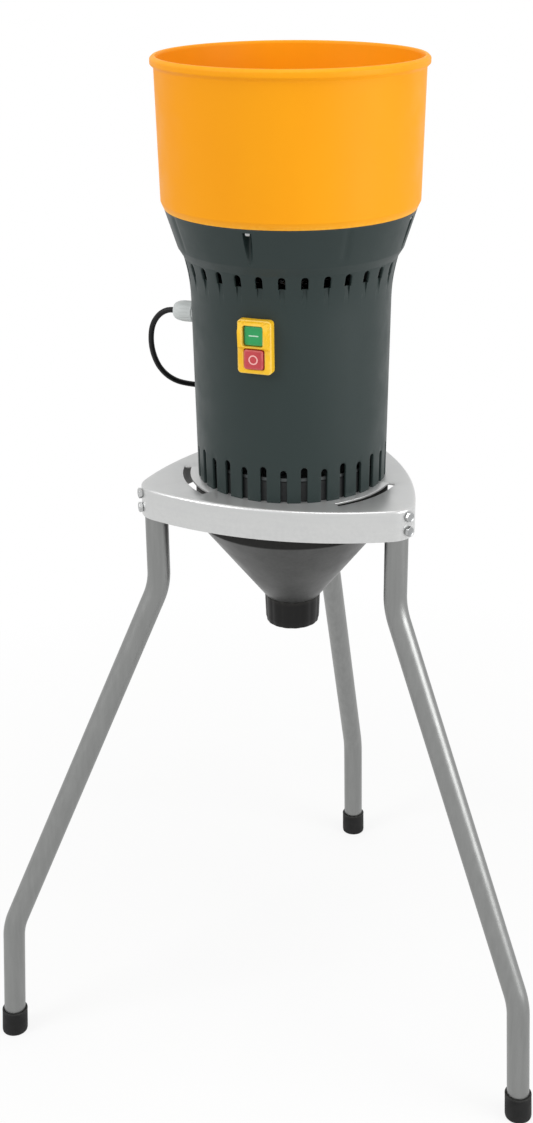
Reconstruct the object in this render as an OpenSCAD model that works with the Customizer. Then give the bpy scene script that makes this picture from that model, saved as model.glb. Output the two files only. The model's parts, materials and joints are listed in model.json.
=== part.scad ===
// Electric grain mill on a three-legged tube stand.
// Millimetres, Z up, floor at z = 0, switch towards -Y, third leg towards +Y.
// The mill's own axis stands forward of the origin, which is under the middle of the stand's footprint.

/* [Heights] */
// Top face of the stand plate above the floor
stand_h = 679; // [560:1:820]
// Height of the housing from the stand plate to its top edge
housing_h = 289; // [255:1:350]
// Height of the hopper above the housing
hopper_h = 149; // [90:1:220]

/* [Hopper] */
// How far the hopper's foot stands out beyond the housing's top edge
hopper_step = 3.2; // [1:0.1:8]
// How much wider the hopper's wall is at the lip than at its foot
hopper_draft = 2.8; // [0:0.1:12]
// Height of the rolled lip
lip_h = 10; // [6:0.5:20]
// How far the lip stands out from the wall
lip_out = 3.4; // [1:0.1:8]
// Height of the chamfer under the hopper's wall
hopper_chamfer = 7; // [3:0.5:12]
// Wall of the hopper
hopper_wall = 2.5; // [1.5:0.1:4]
// Depth of the hopper's floor below the housing's top edge
floor_drop = 53; // [48:1:60]
// Diameter of the feed hole in the hopper's floor
feed_hole_d = 36; // [24:1:36]

/* [Housing] */
// Outer radius of the housing at its bottom edge
housing_r = 102; // [99:0.1:107]
// How much wider the housing is where the flare starts
housing_draft = 2.7; // [0:0.1:4]
// Outer radius of the flare at its top edge
flare_r = 130; // [128:0.1:140]
// Height of the flare's ridge below the top edge
ridge_drop = 42.5; // [38:0.5:50]
// Height of the flare's start below the top edge
flare_drop = 98; // [85:1:130]
// Wall of the housing
housing_wall = 3; // [2:0.1:4]
// Number of vents in each row
vent_count = 30; // [20:2:34]
// Width of a vent
vent_w = 7.2; // [4:0.1:9]
// Height of an upper vent
upper_vent_h = 12.5; // [8:0.5:16]
// Height of a lower vent
lower_vent_h = 36; // [20:1:50]
// How much taller every second lower vent is
lower_vent_step = 3; // [0:0.5:6]
// Turn of the mill on its stand, in degrees
housing_turn = -5; // [-10:1:10]

/* [Switch] */
// Height of the switch's middle below the housing's top edge
switch_drop = 121; // [118:1:140]
// Width of each button
button_w = 19; // [14:0.5:22]
// Height of each button
button_h = 20; // [14:0.5:24]
// Travel of each button
button_travel = 3; // [1:0.5:4]

/* [Stand] */
// Radius of the circle that the upper leg tubes stand on
leg_circle_r = 152; // [150:1:180]
// Radius of the circle that the feet stand on
foot_circle_r = 349; // [280:1:420]
// Diameter of the leg tube
leg_d = 25; // [20:0.5:32]
// Wall of the leg tube
leg_wall = 1.5; // [1:0.1:3]
// Length of the leg's upright top, down to its upper corner
leg_top_len = 118; // [80:1:160]
// Height of the leg's lower corner above the floor
leg_low_h = 148; // [80:1:200]
// Outward lean of the leg's foot, in degrees
foot_lean = 3.5; // [0:0.5:8]
// Centreline radius of the leg's bends
leg_bend_r = 75; // [50:1:120]
// Height of the stand plate's skirt
skirt_h = 34; // [30:1:60]
// Thickness of the stand plate's sheet
plate_t = 2; // [1:0.1:4]
// Radius from the mill's axis to the middle of a plate side
plate_side_r = 122; // [122:0.5:135]
// Radius of the plate's rounded corners
plate_corner_r = 30; // [20:1:40]

/* [Grinding chamber] */
// Width of the chamber ring's wall
ring_w = 11.5; // [11:0.5:14]
// Height of the sieve ring
sieve_h = 61.5; // [48:0.5:75]
// Diameter of a sieve hole
sieve_hole_d = 5; // [2:0.5:6]
// Gap between the blade's tips and the sieve ring
blade_gap = 4; // [1:0.5:30]
// Diameter of the shaft in the lower bearing
shaft_d = 17; // [14:0.1:21]

/* [Discharge] */
// How much wider the funnel's upright wall is than the housing
funnel_over = 3; // [1:0.5:6]
// Height of the funnel's upright wall
funnel_wall_h = 49; // [49:1:70]
// Height of the funnel's cone
funnel_cone_h = 95.5; // [70:0.5:140]
// Wall of the funnel
funnel_wall = 2; // [1.2:0.1:3]
// Outer radius of the funnel's neck
neck_r = 27.5; // [20:0.5:34]
// Length of the spout collar
collar_len = 31; // [20:1:40]

/* [Mains lead] */
// Diameter of the mains cord
cord_d = 6.2; // [5:0.1:8]
// Distance that the gland stands out from the housing
gland_out = 29; // [24:0.5:36]

/* [Hidden] */
$fn = 72;

// Colours
yellow = [0.99, 0.66, 0.11];
slate = [0.23, 0.27, 0.28];
silver = [0.72, 0.73, 0.73];
tube_grey = [0.55, 0.56, 0.56];
zinc = [0.80, 0.81, 0.82];
black = [0.08, 0.08, 0.08];
graphite = [0.29, 0.29, 0.28];
copper = [0.72, 0.42, 0.20];
gland_grey = [0.80, 0.82, 0.81];

// Clearances
fit_gap = 0.1;
slide_gap = 0.3;
shaft_gap = 0.02;

// Places along the axis, from the floor up
mill_y = -foot_circle_r / 4;
housing_top = stand_h + housing_h;
rim_z = housing_top + hopper_h;
plate_under = stand_h - plate_t;
ring_h = 22.5;
gasket_t = 1;
chamber_t = 3.5;
roof_z = stand_h + ring_h;
motor_z = roof_z + chamber_t;

// Housing profile
flare_start_z = housing_top - flare_drop;
ridge_z = housing_top - ridge_drop;
ridge_lip_h = 3;
ridge_in = 13.6;
ridge_out = 3.8;
body_top_r = housing_r + housing_draft;
ridge_r = flare_r - ridge_in;
step_r = ridge_r - ridge_out;
arc_dx = step_r - body_top_r;
arc_dz = ridge_z - ridge_lip_h - flare_start_z;
arc_r = (arc_dx * arc_dx + arc_dz * arc_dz) / (2 * arc_dx);
arc_steps = 8;
upper_vent_land = 4.5;
upper_vent_z = ridge_z - ridge_lip_h - upper_vent_land - upper_vent_h;
groove_w = 5;
groove_h = 12;
groove_skin = 1.4;
vent_pitch = 360 / vent_count;
vent_phase = 2.4;
pocket_d = 11;
pocket_h = 46;
pocket_r = flare_r - 6;
pocket_roof = 4;
screw_head_d = 8;
screw_head_h = 3.2;
screw_d = 4;
flute_d = 10;
flute_depth = 1.2;
flute_h = 42;

// Chamber ring, and the bolt circle that clamps funnel, plate, ring and housing
ring_out_r = housing_r - housing_wall - 1.5;
ring_in_r = ring_out_r - ring_w;
clamp_r = ring_in_r + 5.5;
clamp_d = 6;
clamp_hole_d = 6.6;
clamp_bolt_in = 30;
boss_d = 14;
boss_h = 35;
rib_w = 6;

// Sieve, blade and studs
sieve_gap = 2;
sieve_r = ring_in_r - sieve_gap;
sieve_t = 1;
sieve_floor_t = 2;
sieve_rows = 4;
sieve_columns = 36;
sieve_edge = 4;
sieve_floor_z = roof_z - gasket_t - sieve_h - sieve_floor_t;
blade_lift = 17;
blade_z = sieve_floor_z + blade_lift;
blade_t = 4;
blade_w = 24;
blade_r = sieve_r - sieve_t - blade_gap;
blade_len = 2 * sqrt(blade_r * blade_r - blade_w * blade_w / 4);
nut_h = 10;
nut_af = 19;
spacer_d = 32;
seal_d = 35;
seal_gap = 0.1;
stud_r = ring_in_r + 7;
stud_d = 6;
stud_hole_d = 6.6;
stud_in = 10;
floor_r = sieve_r + 3;
ear_w = 16;
ear_r = stud_r + 6;
wing_h = 8;
wing_d = 11;
wing_span = 22;
wing_t = 2.5;

// Motor, from the chamber plate up to the fan under the hopper
bracket_base = 14;
bracket_rise = 21;
bracket_top = 11;
bracket_wall = 8;
bracket_skin = 2;
fan_h = 18;
fan_lift = 7;
fan_top_gap = 18;
fan_disc_t = 2;
fan_hub_r = 12;
fan_blades = 9;
fan_r = 57;
spout_len = 10;
land_z = housing_top - floor_drop;
stator_z = motor_z + bracket_base + bracket_rise;
shaft_top_z = land_z - spout_len - fan_top_gap;
fan_z = shaft_top_z - fan_h;
bracket_top_z = fan_z - fan_lift;
bracket_lid_z = bracket_top_z - bracket_top;
upper_bracket_z = bracket_lid_z - bracket_rise;
stator_h = upper_bracket_z - stator_z;
stator_r = 62;
stator_in_r = 32.5;
rotor_r = 32;
winding_h = 18;
winding_r = [37, 52];
tie_r = 58;
tie_d = 5;
tie_hole_d = 5.4;
tie_head_d = 9.6;
tie_head_h = 2.5;
tie_nut_af = 8;
tie_nut_h = 4;
lower_bearing_d = 40;
lower_bearing_h = 12;
lower_bearing_z = motor_z + bracket_skin;
upper_bearing_d = 35;
upper_bearing_h = 11;
upper_bearing_z = bracket_top_z - bracket_skin - upper_bearing_h;
shaft_top_d = 15;
shaft_core_d = 22;
shaft_end_d = 12;

// Feed chute past the motor
chute_wall = 1.5;
chute_y = 21;
chute_in_x = stator_r + 2;
chute_out_x = chute_wall + sqrt(pow(sieve_r - sieve_t, 2) - pow(chute_y - chute_wall, 2));
spout_wall = 2;
chute_neck_z = land_z - spout_len - 4;
chute_neck_h = 12;
chute_blend_h = 17;

// Hopper floor and feed gate
feed_x = chute_out_x - 8;
land_t = 2.5;
gate_side = feed_hole_d + 6;
gate_t = 2;
gate_travel = feed_hole_d + 3;
gate_z = land_z + land_t + slide_gap;
rail_w = 3;
rail_h = 5;
rail_lip = 2;
rail_lip_t = 1.9;
land_in_x = feed_x - gate_side / 2 - gate_travel - 8;
land_out_x = feed_x + gate_side / 2 + 6;
land_y = gate_side / 2 + slide_gap + rail_w + 3.7;
ledge_w = 16;
ledge_r = flare_r - ledge_w;
hopper_foot_r = flare_r + hopper_step;
lip_r = hopper_foot_r + hopper_draft + lip_out;
hopper_boss_d = 9;
hopper_boss_h = 11.5;
knob_in = 8;
knob_d = 14;
knob_stem_d = 7;
knob_stem_h = 16;
knob_h = 9;

// Funnel and spout
funnel_r = housing_r + funnel_over;
funnel_top = plate_under;
funnel_flange_t = 2;
cone_top_z = funnel_top - funnel_wall_h;
cone_low_z = cone_top_z - funnel_cone_h;
neck_len = 29;
cone_low_r = neck_r + 3;
collar_top_r = neck_r + 3.6;
collar_low_r = neck_r + 1.5;
collar_top_z = cone_low_z - 1.5;
collar_z = collar_top_z - collar_len;
collar_stop = 3;

// Stand plate
plate_gap = 0.5;
plate_tip_r = leg_circle_r + leg_d / 2 + plate_gap + plate_t;
corner_centre_r = plate_tip_r - plate_corner_r;
side_m = plate_side_r - plate_corner_r;
side_back = (corner_centre_r * corner_centre_r - side_m * side_m) / (2 * side_m - corner_centre_r);
side_arc_r = plate_side_r + side_back;
side_half = atan2(corner_centre_r * sin(60), corner_centre_r * cos(60) + side_back);
side_steps = 12;
corner_steps = 10;
plate_hole_r = ring_in_r;
slot_r = funnel_r + 10;
slot_w = 8;
slot_half = 22;

// Legs and their fasteners
leg_az = [-60, 60, 180];
leg_corner_z = stand_h - leg_top_len;
leg_low_r = foot_circle_r - leg_low_h * tan(foot_lean);
leg_slope = atan2(leg_low_r - leg_circle_r, leg_corner_z - leg_low_h);
top_tangent = leg_bend_r * tan(leg_slope / 2);
low_tangent = leg_bend_r * tan((leg_slope - foot_lean) / 2);
cap_wall = 2.5;
cap_h = 31;
cap_floor = 5;
leg_inner_r = leg_circle_r - leg_d / 2;
leg_bolt_d = 6;
leg_bolt_hole_d = 6.6;
leg_bolt_rise = 8;
leg_bolt_mid = stand_h - skirt_h / 2;
leg_bolt_z = [leg_bolt_mid - leg_bolt_rise, leg_bolt_mid + leg_bolt_rise];
leg_bolt_spare = 2;
hex_af = 10;
hex_h = 4;
washer_t = 1.6;
washer_d = 12;
leg_nut_h = 5;

// Switch
switch_z = housing_top - switch_drop;
button_space = 4;
button_rise = (button_h + button_space) / 2;
button_gap = 0.35;
button_corner = 2;
button_out = [1.6, 3.2];
frame_side_w = 9.75;
frame_end_w = 6.5;
switch_w = button_w + 2 * frame_side_w;
switch_h = 2 * button_h + button_space + 2 * frame_end_w;
frame_face_r = housing_r + 10;
frame_rim_out = 2;
frame_rim_w = 2.6;
frame_corner = 4;
frame_t = 2.5;
frame_wall = 3.5;
frame_depth = 16;
body_w = button_w + 7;
body_h = 2 * button_h + button_space + 1;
body_face_r = housing_r - 2;
body_depth = 29;
button_in_r = body_face_r + button_travel + 1;
spring_r = 3.4;
spring_wire = 0.6;
spring_turns = 3;
spring_steps = 14;
tag_size = [0.8, 6, 6];

// Gland
gland_hex_af = 22;
gland_hex_t = 5;
gland_thread_d = 16;
gland_nut_d = 22.5;
gland_dome_h = 6;
gland_dome_d = 12;
gland_bore_d = 11;
gland_seal_t = 12;
gland_drop_share = (switch_z - stand_h) / (housing_h - flare_drop);
gland_wall_r = housing_r + housing_draft * gland_drop_share;
gland_in = 12;
locknut_af = 22;
locknut_t = 4;
gland_tip_r = gland_wall_r + gland_out;
gland_end_r = gland_wall_r - housing_wall - gland_in;
cord_lead = 1.3;

// Capacitor and internal leads
lead_d = 5;
lead_drop = 12;
supply_r = gland_end_r - lead_d / 2 - 0.4;
start_r = housing_r - 8;
capacitor_d = 32;
capacitor_h = 65;
capacitor_r = housing_r - housing_wall - 16.5;
capacitor_z = switch_z - lead_drop - capacitor_h - 10;
clip_t = 1.5;
clip_h = 12;
clip_rise = 20;

// Mains cord: route points chosen by hand, about the mill's axis, z above the stand plate
cord_sides = 10;
cord_route = [
    [-134, 11.7, 168], [-141, 12.3, 167.2], [-148.5, 12.8, 163.5], [-155, 14, 157], [-160, 16, 148.5],
    [-163.3, 19, 137], [-165, 24, 123], [-164.5, 31, 108], [-161.5, 39, 94], [-155.5, 47.5, 82.5],
    [-147, 56.5, 74], [-136, 66.5, 68.5], [-124, 77, 64.5], [-110, 87.5, 60], [-95, 97, 54.5],
    [-78, 105, 47], [-60, 110.5, 38], [-40, 113.5, 29], [-20, 114.6, 21],
    [-8, 114.9, 17.2], [0, 114.9, 15.5]
];
plug_route = [
    [8, 121.2, 15.5], [20, 122.6, 17], [30, 127.5, 20], [36.5, 137, 24], [38, 148, 28.5],
    [35.5, 159, 33], [28.5, 168, 36], [20, 172.3, 37], [13, 173, 37.1], [7, 173, 37.1]
];
coil_at = [0, 152];
coil_layers = 3;
coil_in_r = 27.8;
coil_out_r = coil_in_r + 2 * cord_d;
coil_h = coil_layers * cord_d;
plug_d = 37;
plug_neck_d = 20;
plug_neck_h = 8;
plug_len = 40;
plug_relief = 16;
pin_d = 4.8;
pin_len = 19;
pin_apart = 19;
tie_band_t = 1;
tie_band_w = 5;

// ---------- shared helpers ----------

module at_mill() {
    translate([0, mill_y, 0]) children();
}

module at_housing() {
    at_mill() rotate([0, 0, housing_turn]) children();
}

// Turns the local -Y direction to the given azimuth about Z.
module toward(azimuth) {
    rotate([0, 0, azimuth]) children();
}

module ring(r_out, r_in, z0, z1) {
    translate([0, 0, z0]) difference() {
        cylinder(h = z1 - z0, r = r_out);
        translate([0, 0, -1]) cylinder(h = z1 - z0 + 2, r = r_in);
    }
}

module cone_between(r0, r1, z0, z1) {
    translate([0, 0, z0]) cylinder(h = z1 - z0, r1 = r0, r2 = r1);
}

// Hexagonal prism with the given distance across flats, standing on z = 0.
module cylinder_at(z0, z1, r) {
    translate([0, 0, z0]) cylinder(h = z1 - z0, r = r);
}

module hex_prism(af, h) {
    cylinder(h = h, d = af / cos(30), $fn = 6);
}

// Plate in the X-Z plane, centred, with rounded corners, from y = 0 to y = depth.
module face_block(w, h, depth, corner) {
    rotate([90, 0, 0]) translate([0, 0, -depth]) linear_extrude(depth) round_rect(w, h, corner);
}

module round_rect(w, h, corner) {
    square([w - 2 * corner, h], center = true);
    square([w, h - 2 * corner], center = true);
    for (sx = [-1, 1], sy = [-1, 1])
        translate([sx * (w / 2 - corner), sy * (h / 2 - corner)]) circle(r = corner, $fn = 32);
}

// Tube swept along points, one ring of sides at each point.
function unit(v) = v / norm(v);
function tangent_at(p, i) =
    unit(p[min(i + 1, len(p) - 1)] - p[max(i - 1, 0)]);
function ring_points(p, i, r, n, side) =
    let (t = tangent_at(p, i), u = unit(cross(t, side)), v = cross(t, u))
    [for (k = [0 : n - 1]) p[i] + r * (cos(360 * k / n) * u + sin(360 * k / n) * v)];

module swept_tube(p, r, n, side) {
    points = [for (i = [0 : len(p) - 1]) each ring_points(p, i, r, n, side)];
    last = (len(p) - 1) * n;
    faces = [
        [for (k = [0 : n - 1]) k],
        [for (k = [n - 1 : -1 : 0]) last + k],
        for (i = [0 : len(p) - 2], k = [0 : n - 1])
            [i * n + k, (i + 1) * n + k, (i + 1) * n + (k + 1) % n, i * n + (k + 1) % n]
    ];
    polyhedron(points = points, faces = faces, convexity = 8);
}

// ---------- hopper and feed ----------

// Sloping floor as a solid block, or with a positive inset the space above it.
module hopper_floor(inset) {
    inner = inset > 0;
    hull() {
        translate([land_in_x + inset, -land_y + inset, land_z + inset])
            cube([land_out_x - land_in_x - 2 * inset, 2 * (land_y - inset), 0.5]);
        translate([0, 0, housing_top + (inner ? hopper_wall : 0)])
            cylinder(h = inner ? 1 : hopper_wall, r = inner ? ledge_r - 2 : ledge_r, $fn = 96);
    }
}

module gate_rail() {
    rail_y = gate_side / 2 + slide_gap;
    rail_len = land_out_x - land_in_x - 2;
    translate([land_in_x + 1, rail_y, land_z + 1]) cube([rail_len, rail_w, land_t - 1 + rail_h]);
    translate([land_in_x + 1, rail_y - rail_lip, land_z + land_t + rail_h - rail_lip_t])
        cube([rail_len, rail_lip + 1, rail_lip_t]);
}

module hopper_bowl() {
    foot_z = housing_top + hopper_chamfer;
    top_r = lip_r - lip_out;
    top_in_r = top_r - hopper_wall;
    lip_z = rim_z - lip_h;
    rotate_extrude() polygon([
        [ledge_r - 2, housing_top], [flare_r, housing_top], [hopper_foot_r, foot_z],
        [top_r, lip_z], [lip_r - 0.8, lip_z], [lip_r, lip_z + 2.5],
        [lip_r, rim_z - 3], [lip_r - 1.6, rim_z - 0.6], [lip_r - 3, rim_z],
        [top_in_r + 0.4, rim_z], [top_in_r - 0.2, rim_z - 2],
        [hopper_foot_r - hopper_wall, foot_z], [flare_r - hopper_wall, housing_top + hopper_wall],
        [ledge_r - 2, housing_top + hopper_wall]
    ]);
}

module hopper() {
    screw_hole_d = screw_d + 2 * fit_gap;
    color(yellow) at_housing() difference() {
        union() {
            hopper_bowl();
            difference() {
                hopper_floor(0);
                hopper_floor(land_t);
            }
            gate_rail();
            mirror([0, 1, 0]) gate_rail();
            for (a = [0 : 90 : 270]) toward(a) translate([0, -pocket_r, housing_top])
                cylinder(h = hopper_wall + hopper_boss_h, d = hopper_boss_d);
            translate([feed_x, 0, land_z - spout_len])
                cylinder(h = spout_len + 1, d = feed_hole_d + 2 * spout_wall);
        }
        translate([feed_x, 0, land_z - spout_len - 1])
            cylinder(h = spout_len + land_t + 2, d = feed_hole_d);
        for (a = [0 : 90 : 270]) toward(a) translate([0, -pocket_r, housing_top - 1])
            cylinder(h = hopper_boss_h + hopper_wall - 1, d = screw_hole_d);
    }
}

module feed_gate() {
    color(zinc) at_housing() translate([feed_x - gate_side / 2, -gate_side / 2, gate_z])
        cube([gate_side, gate_side, gate_t]);
}

module gate_knob() {
    color(black) at_housing() translate([feed_x - gate_side / 2 + knob_in, 0, gate_z + gate_t]) {
        cylinder(h = knob_stem_h, d = knob_stem_d);
        translate([0, 0, knob_stem_h]) cylinder(h = knob_h, d = knob_d);
        translate([0, 0, knob_stem_h + knob_h]) cylinder(h = 2, d1 = knob_d, d2 = knob_d - 4);
    }
}

module hopper_screws() {
    head_z = housing_top - pocket_roof - screw_head_h;
    shank_h = screw_head_h + pocket_roof + hopper_wall + hopper_boss_h - 2;
    color(zinc) at_housing() for (a = [0 : 90 : 270]) toward(a) translate([0, -pocket_r, head_z])
        difference() {
            union() {
                cylinder(h = screw_head_h, d = screw_head_d);
                cylinder(h = shank_h, d = screw_d);
            }
            for (t = [0, 90]) rotate([0, 0, t]) translate([-2.6, -0.5, -1]) cube([5.2, 1, 2.6]);
        }
}

// ---------- housing ----------

function flare_arc(steps) = [
    for (i = [0 : steps]) let (z = arc_dz * i / steps)
        [body_top_r + arc_r - sqrt(arc_r * arc_r - z * z), flare_start_z + z]
];

// Outer outline filled to the axis; a positive inset gives the space inside the wall.
module housing_profile(inset) {
    over = inset > 0 ? 1 : 0;
    top = [[ridge_r, ridge_z], [flare_r, housing_top]];
    outer = concat([[housing_r, stand_h]], flare_arc(arc_steps), top);
    polygon(concat(
        [[0, stand_h - over]],
        inset > 0 ? [[housing_r - inset, stand_h - over]] : [],
        [for (p = outer) [p[0] - inset, p[1]]],
        inset > 0 ? [[flare_r - inset, housing_top + over]] : [],
        [[0, housing_top + over]]
    ));
}

// Arched slot cut outwards along -Y, its foot at z = 0.
module arch_slot(w, h, r_from, r_to) {
    translate([-w / 2, -r_to, 0]) cube([w, r_to - r_from, h - w / 2]);
    translate([0, -r_from, h - w / 2]) rotate([90, 0, 0]) cylinder(h = r_to - r_from, d = w, $fn = 24);
}

module vents() {
    groove_r = body_top_r + groove_skin;
    for (i = [0 : vent_count - 1]) toward(vent_phase + i * vent_pitch) {
        translate([0, 0, upper_vent_z]) arch_slot(vent_w, upper_vent_h, housing_r - 8, flare_r + 2);
        translate([-groove_w / 2, -flare_r, upper_vent_z - groove_h])
            cube([groove_w, flare_r - groove_r, groove_h + 1]);
        lower_h = lower_vent_h + (1 - i % 2) * lower_vent_step;
        translate([0, 0, stand_h - 1]) arch_slot(vent_w, lower_h + 1, housing_r - 10, housing_r + 5);
    }
}

module pockets() {
    lean = atan2(ridge_in, ridge_drop);
    for (a = [0 : 90 : 270]) toward(a) {
        translate([0, -pocket_r, housing_top - pocket_h - 4])
            cylinder(h = pocket_h + 4 - pocket_roof, d = pocket_d);
        translate([0, -pocket_r, housing_top - 10]) cylinder(h = 20, d = screw_d + 2 * fit_gap);
        toward(45) translate([0, -flare_r + flute_depth - flute_d / 2, housing_top + 1])
            rotate([-lean, 0, 0]) translate([0, 0, -flute_h]) cylinder(h = flute_h + 3, d = flute_d);
    }
}

module pocket_walls() {
    intersection() {
        rotate_extrude() housing_profile(0);
        for (a = [0 : 90 : 270]) toward(a) translate([0, -pocket_r, housing_top - pocket_h])
            cylinder(h = pocket_h, d = pocket_d + 2 * housing_wall);
    }
}

// Bosses that the clamp bolts screw up into, each on a rib from the wall.
module clamp_bosses() {
    intersection() {
        rotate_extrude() housing_profile(0.5);
        clamp_circle() translate([0, 0, motor_z]) {
            cylinder(h = boss_h, d = boss_d);
            translate([-rib_w / 2, clamp_r - housing_r - 5, 0])
                cube([rib_w, housing_r + 5 - clamp_r, boss_h]);
        }
    }
}

module housing() {
    color(slate) at_housing() difference() {
        union() {
            difference() {
                rotate_extrude() housing_profile(0);
                rotate_extrude() housing_profile(housing_wall);
            }
            pocket_walls();
            clamp_bosses();
        }
        vents();
        pockets();
        clamp_circle() cylinder_at(motor_z - 1, motor_z + clamp_bolt_in + 2, clamp_d / 2 + fit_gap);
        translate([0, -body_face_r, switch_z]) cube([body_w + 2, 60, body_h + 2], center = true);
        translate([-housing_r - 15, 0, switch_z]) rotate([0, 90, 0])
            cylinder(h = 40, d = gland_thread_d + 2 * fit_gap);
    }
}

module chute_section(inset) {
    translate([chute_in_x + inset, -chute_y + inset])
        square([chute_out_x - chute_in_x - 2 * inset, 2 * (chute_y - inset)]);
}

// Chute as a solid block, or with an inset and some extra length the space inside it.
module chute_shape(inset, extra) {
    neck_d = feed_hole_d + 2 * (spout_wall + slide_gap + chute_wall - inset);
    duct_top = chute_neck_z - chute_blend_h;
    translate([0, 0, motor_z - extra]) linear_extrude(duct_top - motor_z + extra) chute_section(inset);
    hull() {
        translate([0, 0, duct_top - 0.1]) linear_extrude(0.1) chute_section(inset);
        translate([feed_x, 0, chute_neck_z]) cylinder(h = 0.1, d = neck_d - 0.4, $fn = 32);
    }
    translate([feed_x, 0, chute_neck_z]) cylinder(h = chute_neck_h + extra, d = neck_d);
}

module feed_chute() {
    color(zinc) at_housing() difference() {
        chute_shape(0, 0);
        chute_shape(chute_wall, 1);
    }
}

// ---------- motor ----------

module tie_circle() {
    for (a = [45 : 90 : 315]) toward(a) translate([0, -tie_r, 0]) children();
}

module motor_stator() {
    color(tube_grey) at_housing() difference() {
        ring(stator_r, stator_in_r, stator_z, stator_z + stator_h);
        tie_circle() translate([0, 0, stator_z - 1]) cylinder(h = stator_h + 2, d = tie_hole_d);
    }
}

module motor_windings() {
    stator_top_z = stator_z + stator_h;
    color(copper) at_housing() {
        ring(winding_r[1], winding_r[0], stator_z - winding_h, stator_z);
        ring(winding_r[1], winding_r[0], stator_top_z, stator_top_z + winding_h);
    }
}

module lower_motor_bracket() {
    color(silver) at_housing() difference() {
        cylinder_at(motor_z, stator_z, stator_r);
        cylinder_at(motor_z + bracket_base, stator_z + 1, stator_r - bracket_wall);
        cylinder_at(lower_bearing_z, motor_z + bracket_base + 1, lower_bearing_d / 2 + fit_gap / 2);
        cylinder_at(motor_z - 1, lower_bearing_z + 1, shaft_d / 2 + 4);
        tie_circle() cylinder_at(motor_z - 1, stator_z + 1, tie_hole_d / 2);
    }
}

module upper_motor_bracket() {
    seat_top_z = bracket_top_z - bracket_skin;
    color(silver) at_housing() difference() {
        cylinder_at(upper_bracket_z, bracket_top_z, stator_r);
        cylinder_at(upper_bracket_z - 1, bracket_lid_z, stator_r - bracket_wall);
        cylinder_at(bracket_lid_z - 1, seat_top_z, upper_bearing_d / 2 + fit_gap / 2);
        cylinder_at(seat_top_z - 1, bracket_top_z + 1, shaft_top_d / 2 + 3);
        tie_circle() cylinder_at(upper_bracket_z - 1, bracket_top_z + 1, tie_hole_d / 2);
    }
}

// Ball bearing as one ring, with a groove between the races on each face.
module bearing(z0, h, d, bore) {
    mid_r = (d + bore) / 4;
    groove = 0.8;
    difference() {
        ring(d / 2, bore / 2 + shaft_gap, z0, z0 + h);
        ring(mid_r + 3.2, mid_r - 3.2, z0 - 1, z0 + groove);
        ring(mid_r + 3.2, mid_r - 3.2, z0 + h - groove, z0 + h + 1);
    }
}

module lower_bearing() {
    color(zinc) at_housing() bearing(lower_bearing_z, lower_bearing_h, lower_bearing_d, shaft_d);
}

module upper_bearing() {
    color(zinc) at_housing() bearing(upper_bearing_z, upper_bearing_h, upper_bearing_d, shaft_top_d);
}

module motor_shaft() {
    low_z = blade_z - nut_h - 2;
    core_z = lower_bearing_z + lower_bearing_h + 1;
    color(zinc) at_housing() {
        cylinder_at(low_z, blade_z + blade_t, shaft_end_d / 2);
        cylinder_at(blade_z + blade_t, core_z, shaft_d / 2);
        cylinder_at(core_z, upper_bearing_z - 1, shaft_core_d / 2);
        cylinder_at(upper_bearing_z - 1, fan_z - 1, shaft_top_d / 2);
        cylinder_at(fan_z - 1, shaft_top_z, shaft_end_d / 2);
    }
}

module rotor_core() {
    color(tube_grey) at_housing()
        ring(rotor_r, shaft_core_d / 2 + shaft_gap, stator_z, stator_z + stator_h);
}

module cooling_fan() {
    color(black) at_housing() difference() {
        union() {
            cylinder_at(fan_z, fan_z + fan_disc_t, fan_r);
            cylinder_at(fan_z, shaft_top_z, fan_hub_r);
            for (i = [0 : fan_blades - 1]) rotate([0, 0, i * 360 / fan_blades])
                translate([fan_hub_r - 2, -1, fan_z + 1]) cube([fan_r - fan_hub_r, 2, fan_h - 1]);
        }
        cylinder_at(fan_z - 1, shaft_top_z + 1, shaft_end_d / 2 + shaft_gap);
    }
}

module motor_tie_bolts() {
    color(zinc) at_housing() tie_circle() {
        translate([0, 0, roof_z]) cylinder(h = tie_head_h, d1 = tie_head_d, d2 = tie_d);
        cylinder_at(roof_z + 1, bracket_top_z + tie_nut_h + 1.5, tie_d / 2);
    }
}

module motor_tie_nuts() {
    color(zinc) at_housing() tie_circle() translate([0, 0, bracket_top_z]) difference() {
        hex_prism(tie_nut_af, tie_nut_h);
        translate([0, 0, -1]) cylinder(h = tie_nut_h + 2, d = tie_d + 2 * fit_gap);
    }
}

module capacitor() {
    color(silver) at_housing() translate([0, capacitor_r, capacitor_z]) {
        cylinder(h = capacitor_h, d = capacitor_d);
        for (x = [-5, 5]) translate([x - tag_size[0] / 2, -tag_size[1] / 2, capacitor_h])
            cube([tag_size[0], tag_size[1], tag_size[2] + 2]);
    }
}

// Band round the capacitor, with a pad that reaches the housing's wall.
module capacitor_clip() {
    clip_z = capacitor_z + clip_rise;
    wall_in_r = housing_r - housing_wall + housing_draft * (clip_z - stand_h) / (housing_h - flare_drop);
    band_r = capacitor_d / 2 + fit_gap;
    pad_y = capacitor_r + band_r + clip_t / 2;
    color(zinc) at_housing() {
        translate([0, capacitor_r, 0]) ring(band_r + clip_t, band_r, clip_z, clip_z + clip_h);
        translate([-6, pad_y, clip_z]) cube([12, wall_in_r - slide_gap - pad_y, clip_h]);
    }
}

// Lead bent on a circle about the mill's axis, between two azimuths.
module lead_arc(r, z, from, to) {
    translate([0, 0, z]) toward(from) rotate([0, 0, -90]) rotate_extrude(angle = to - from)
        translate([r, 0]) circle(d = lead_d, $fn = 24);
}

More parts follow.
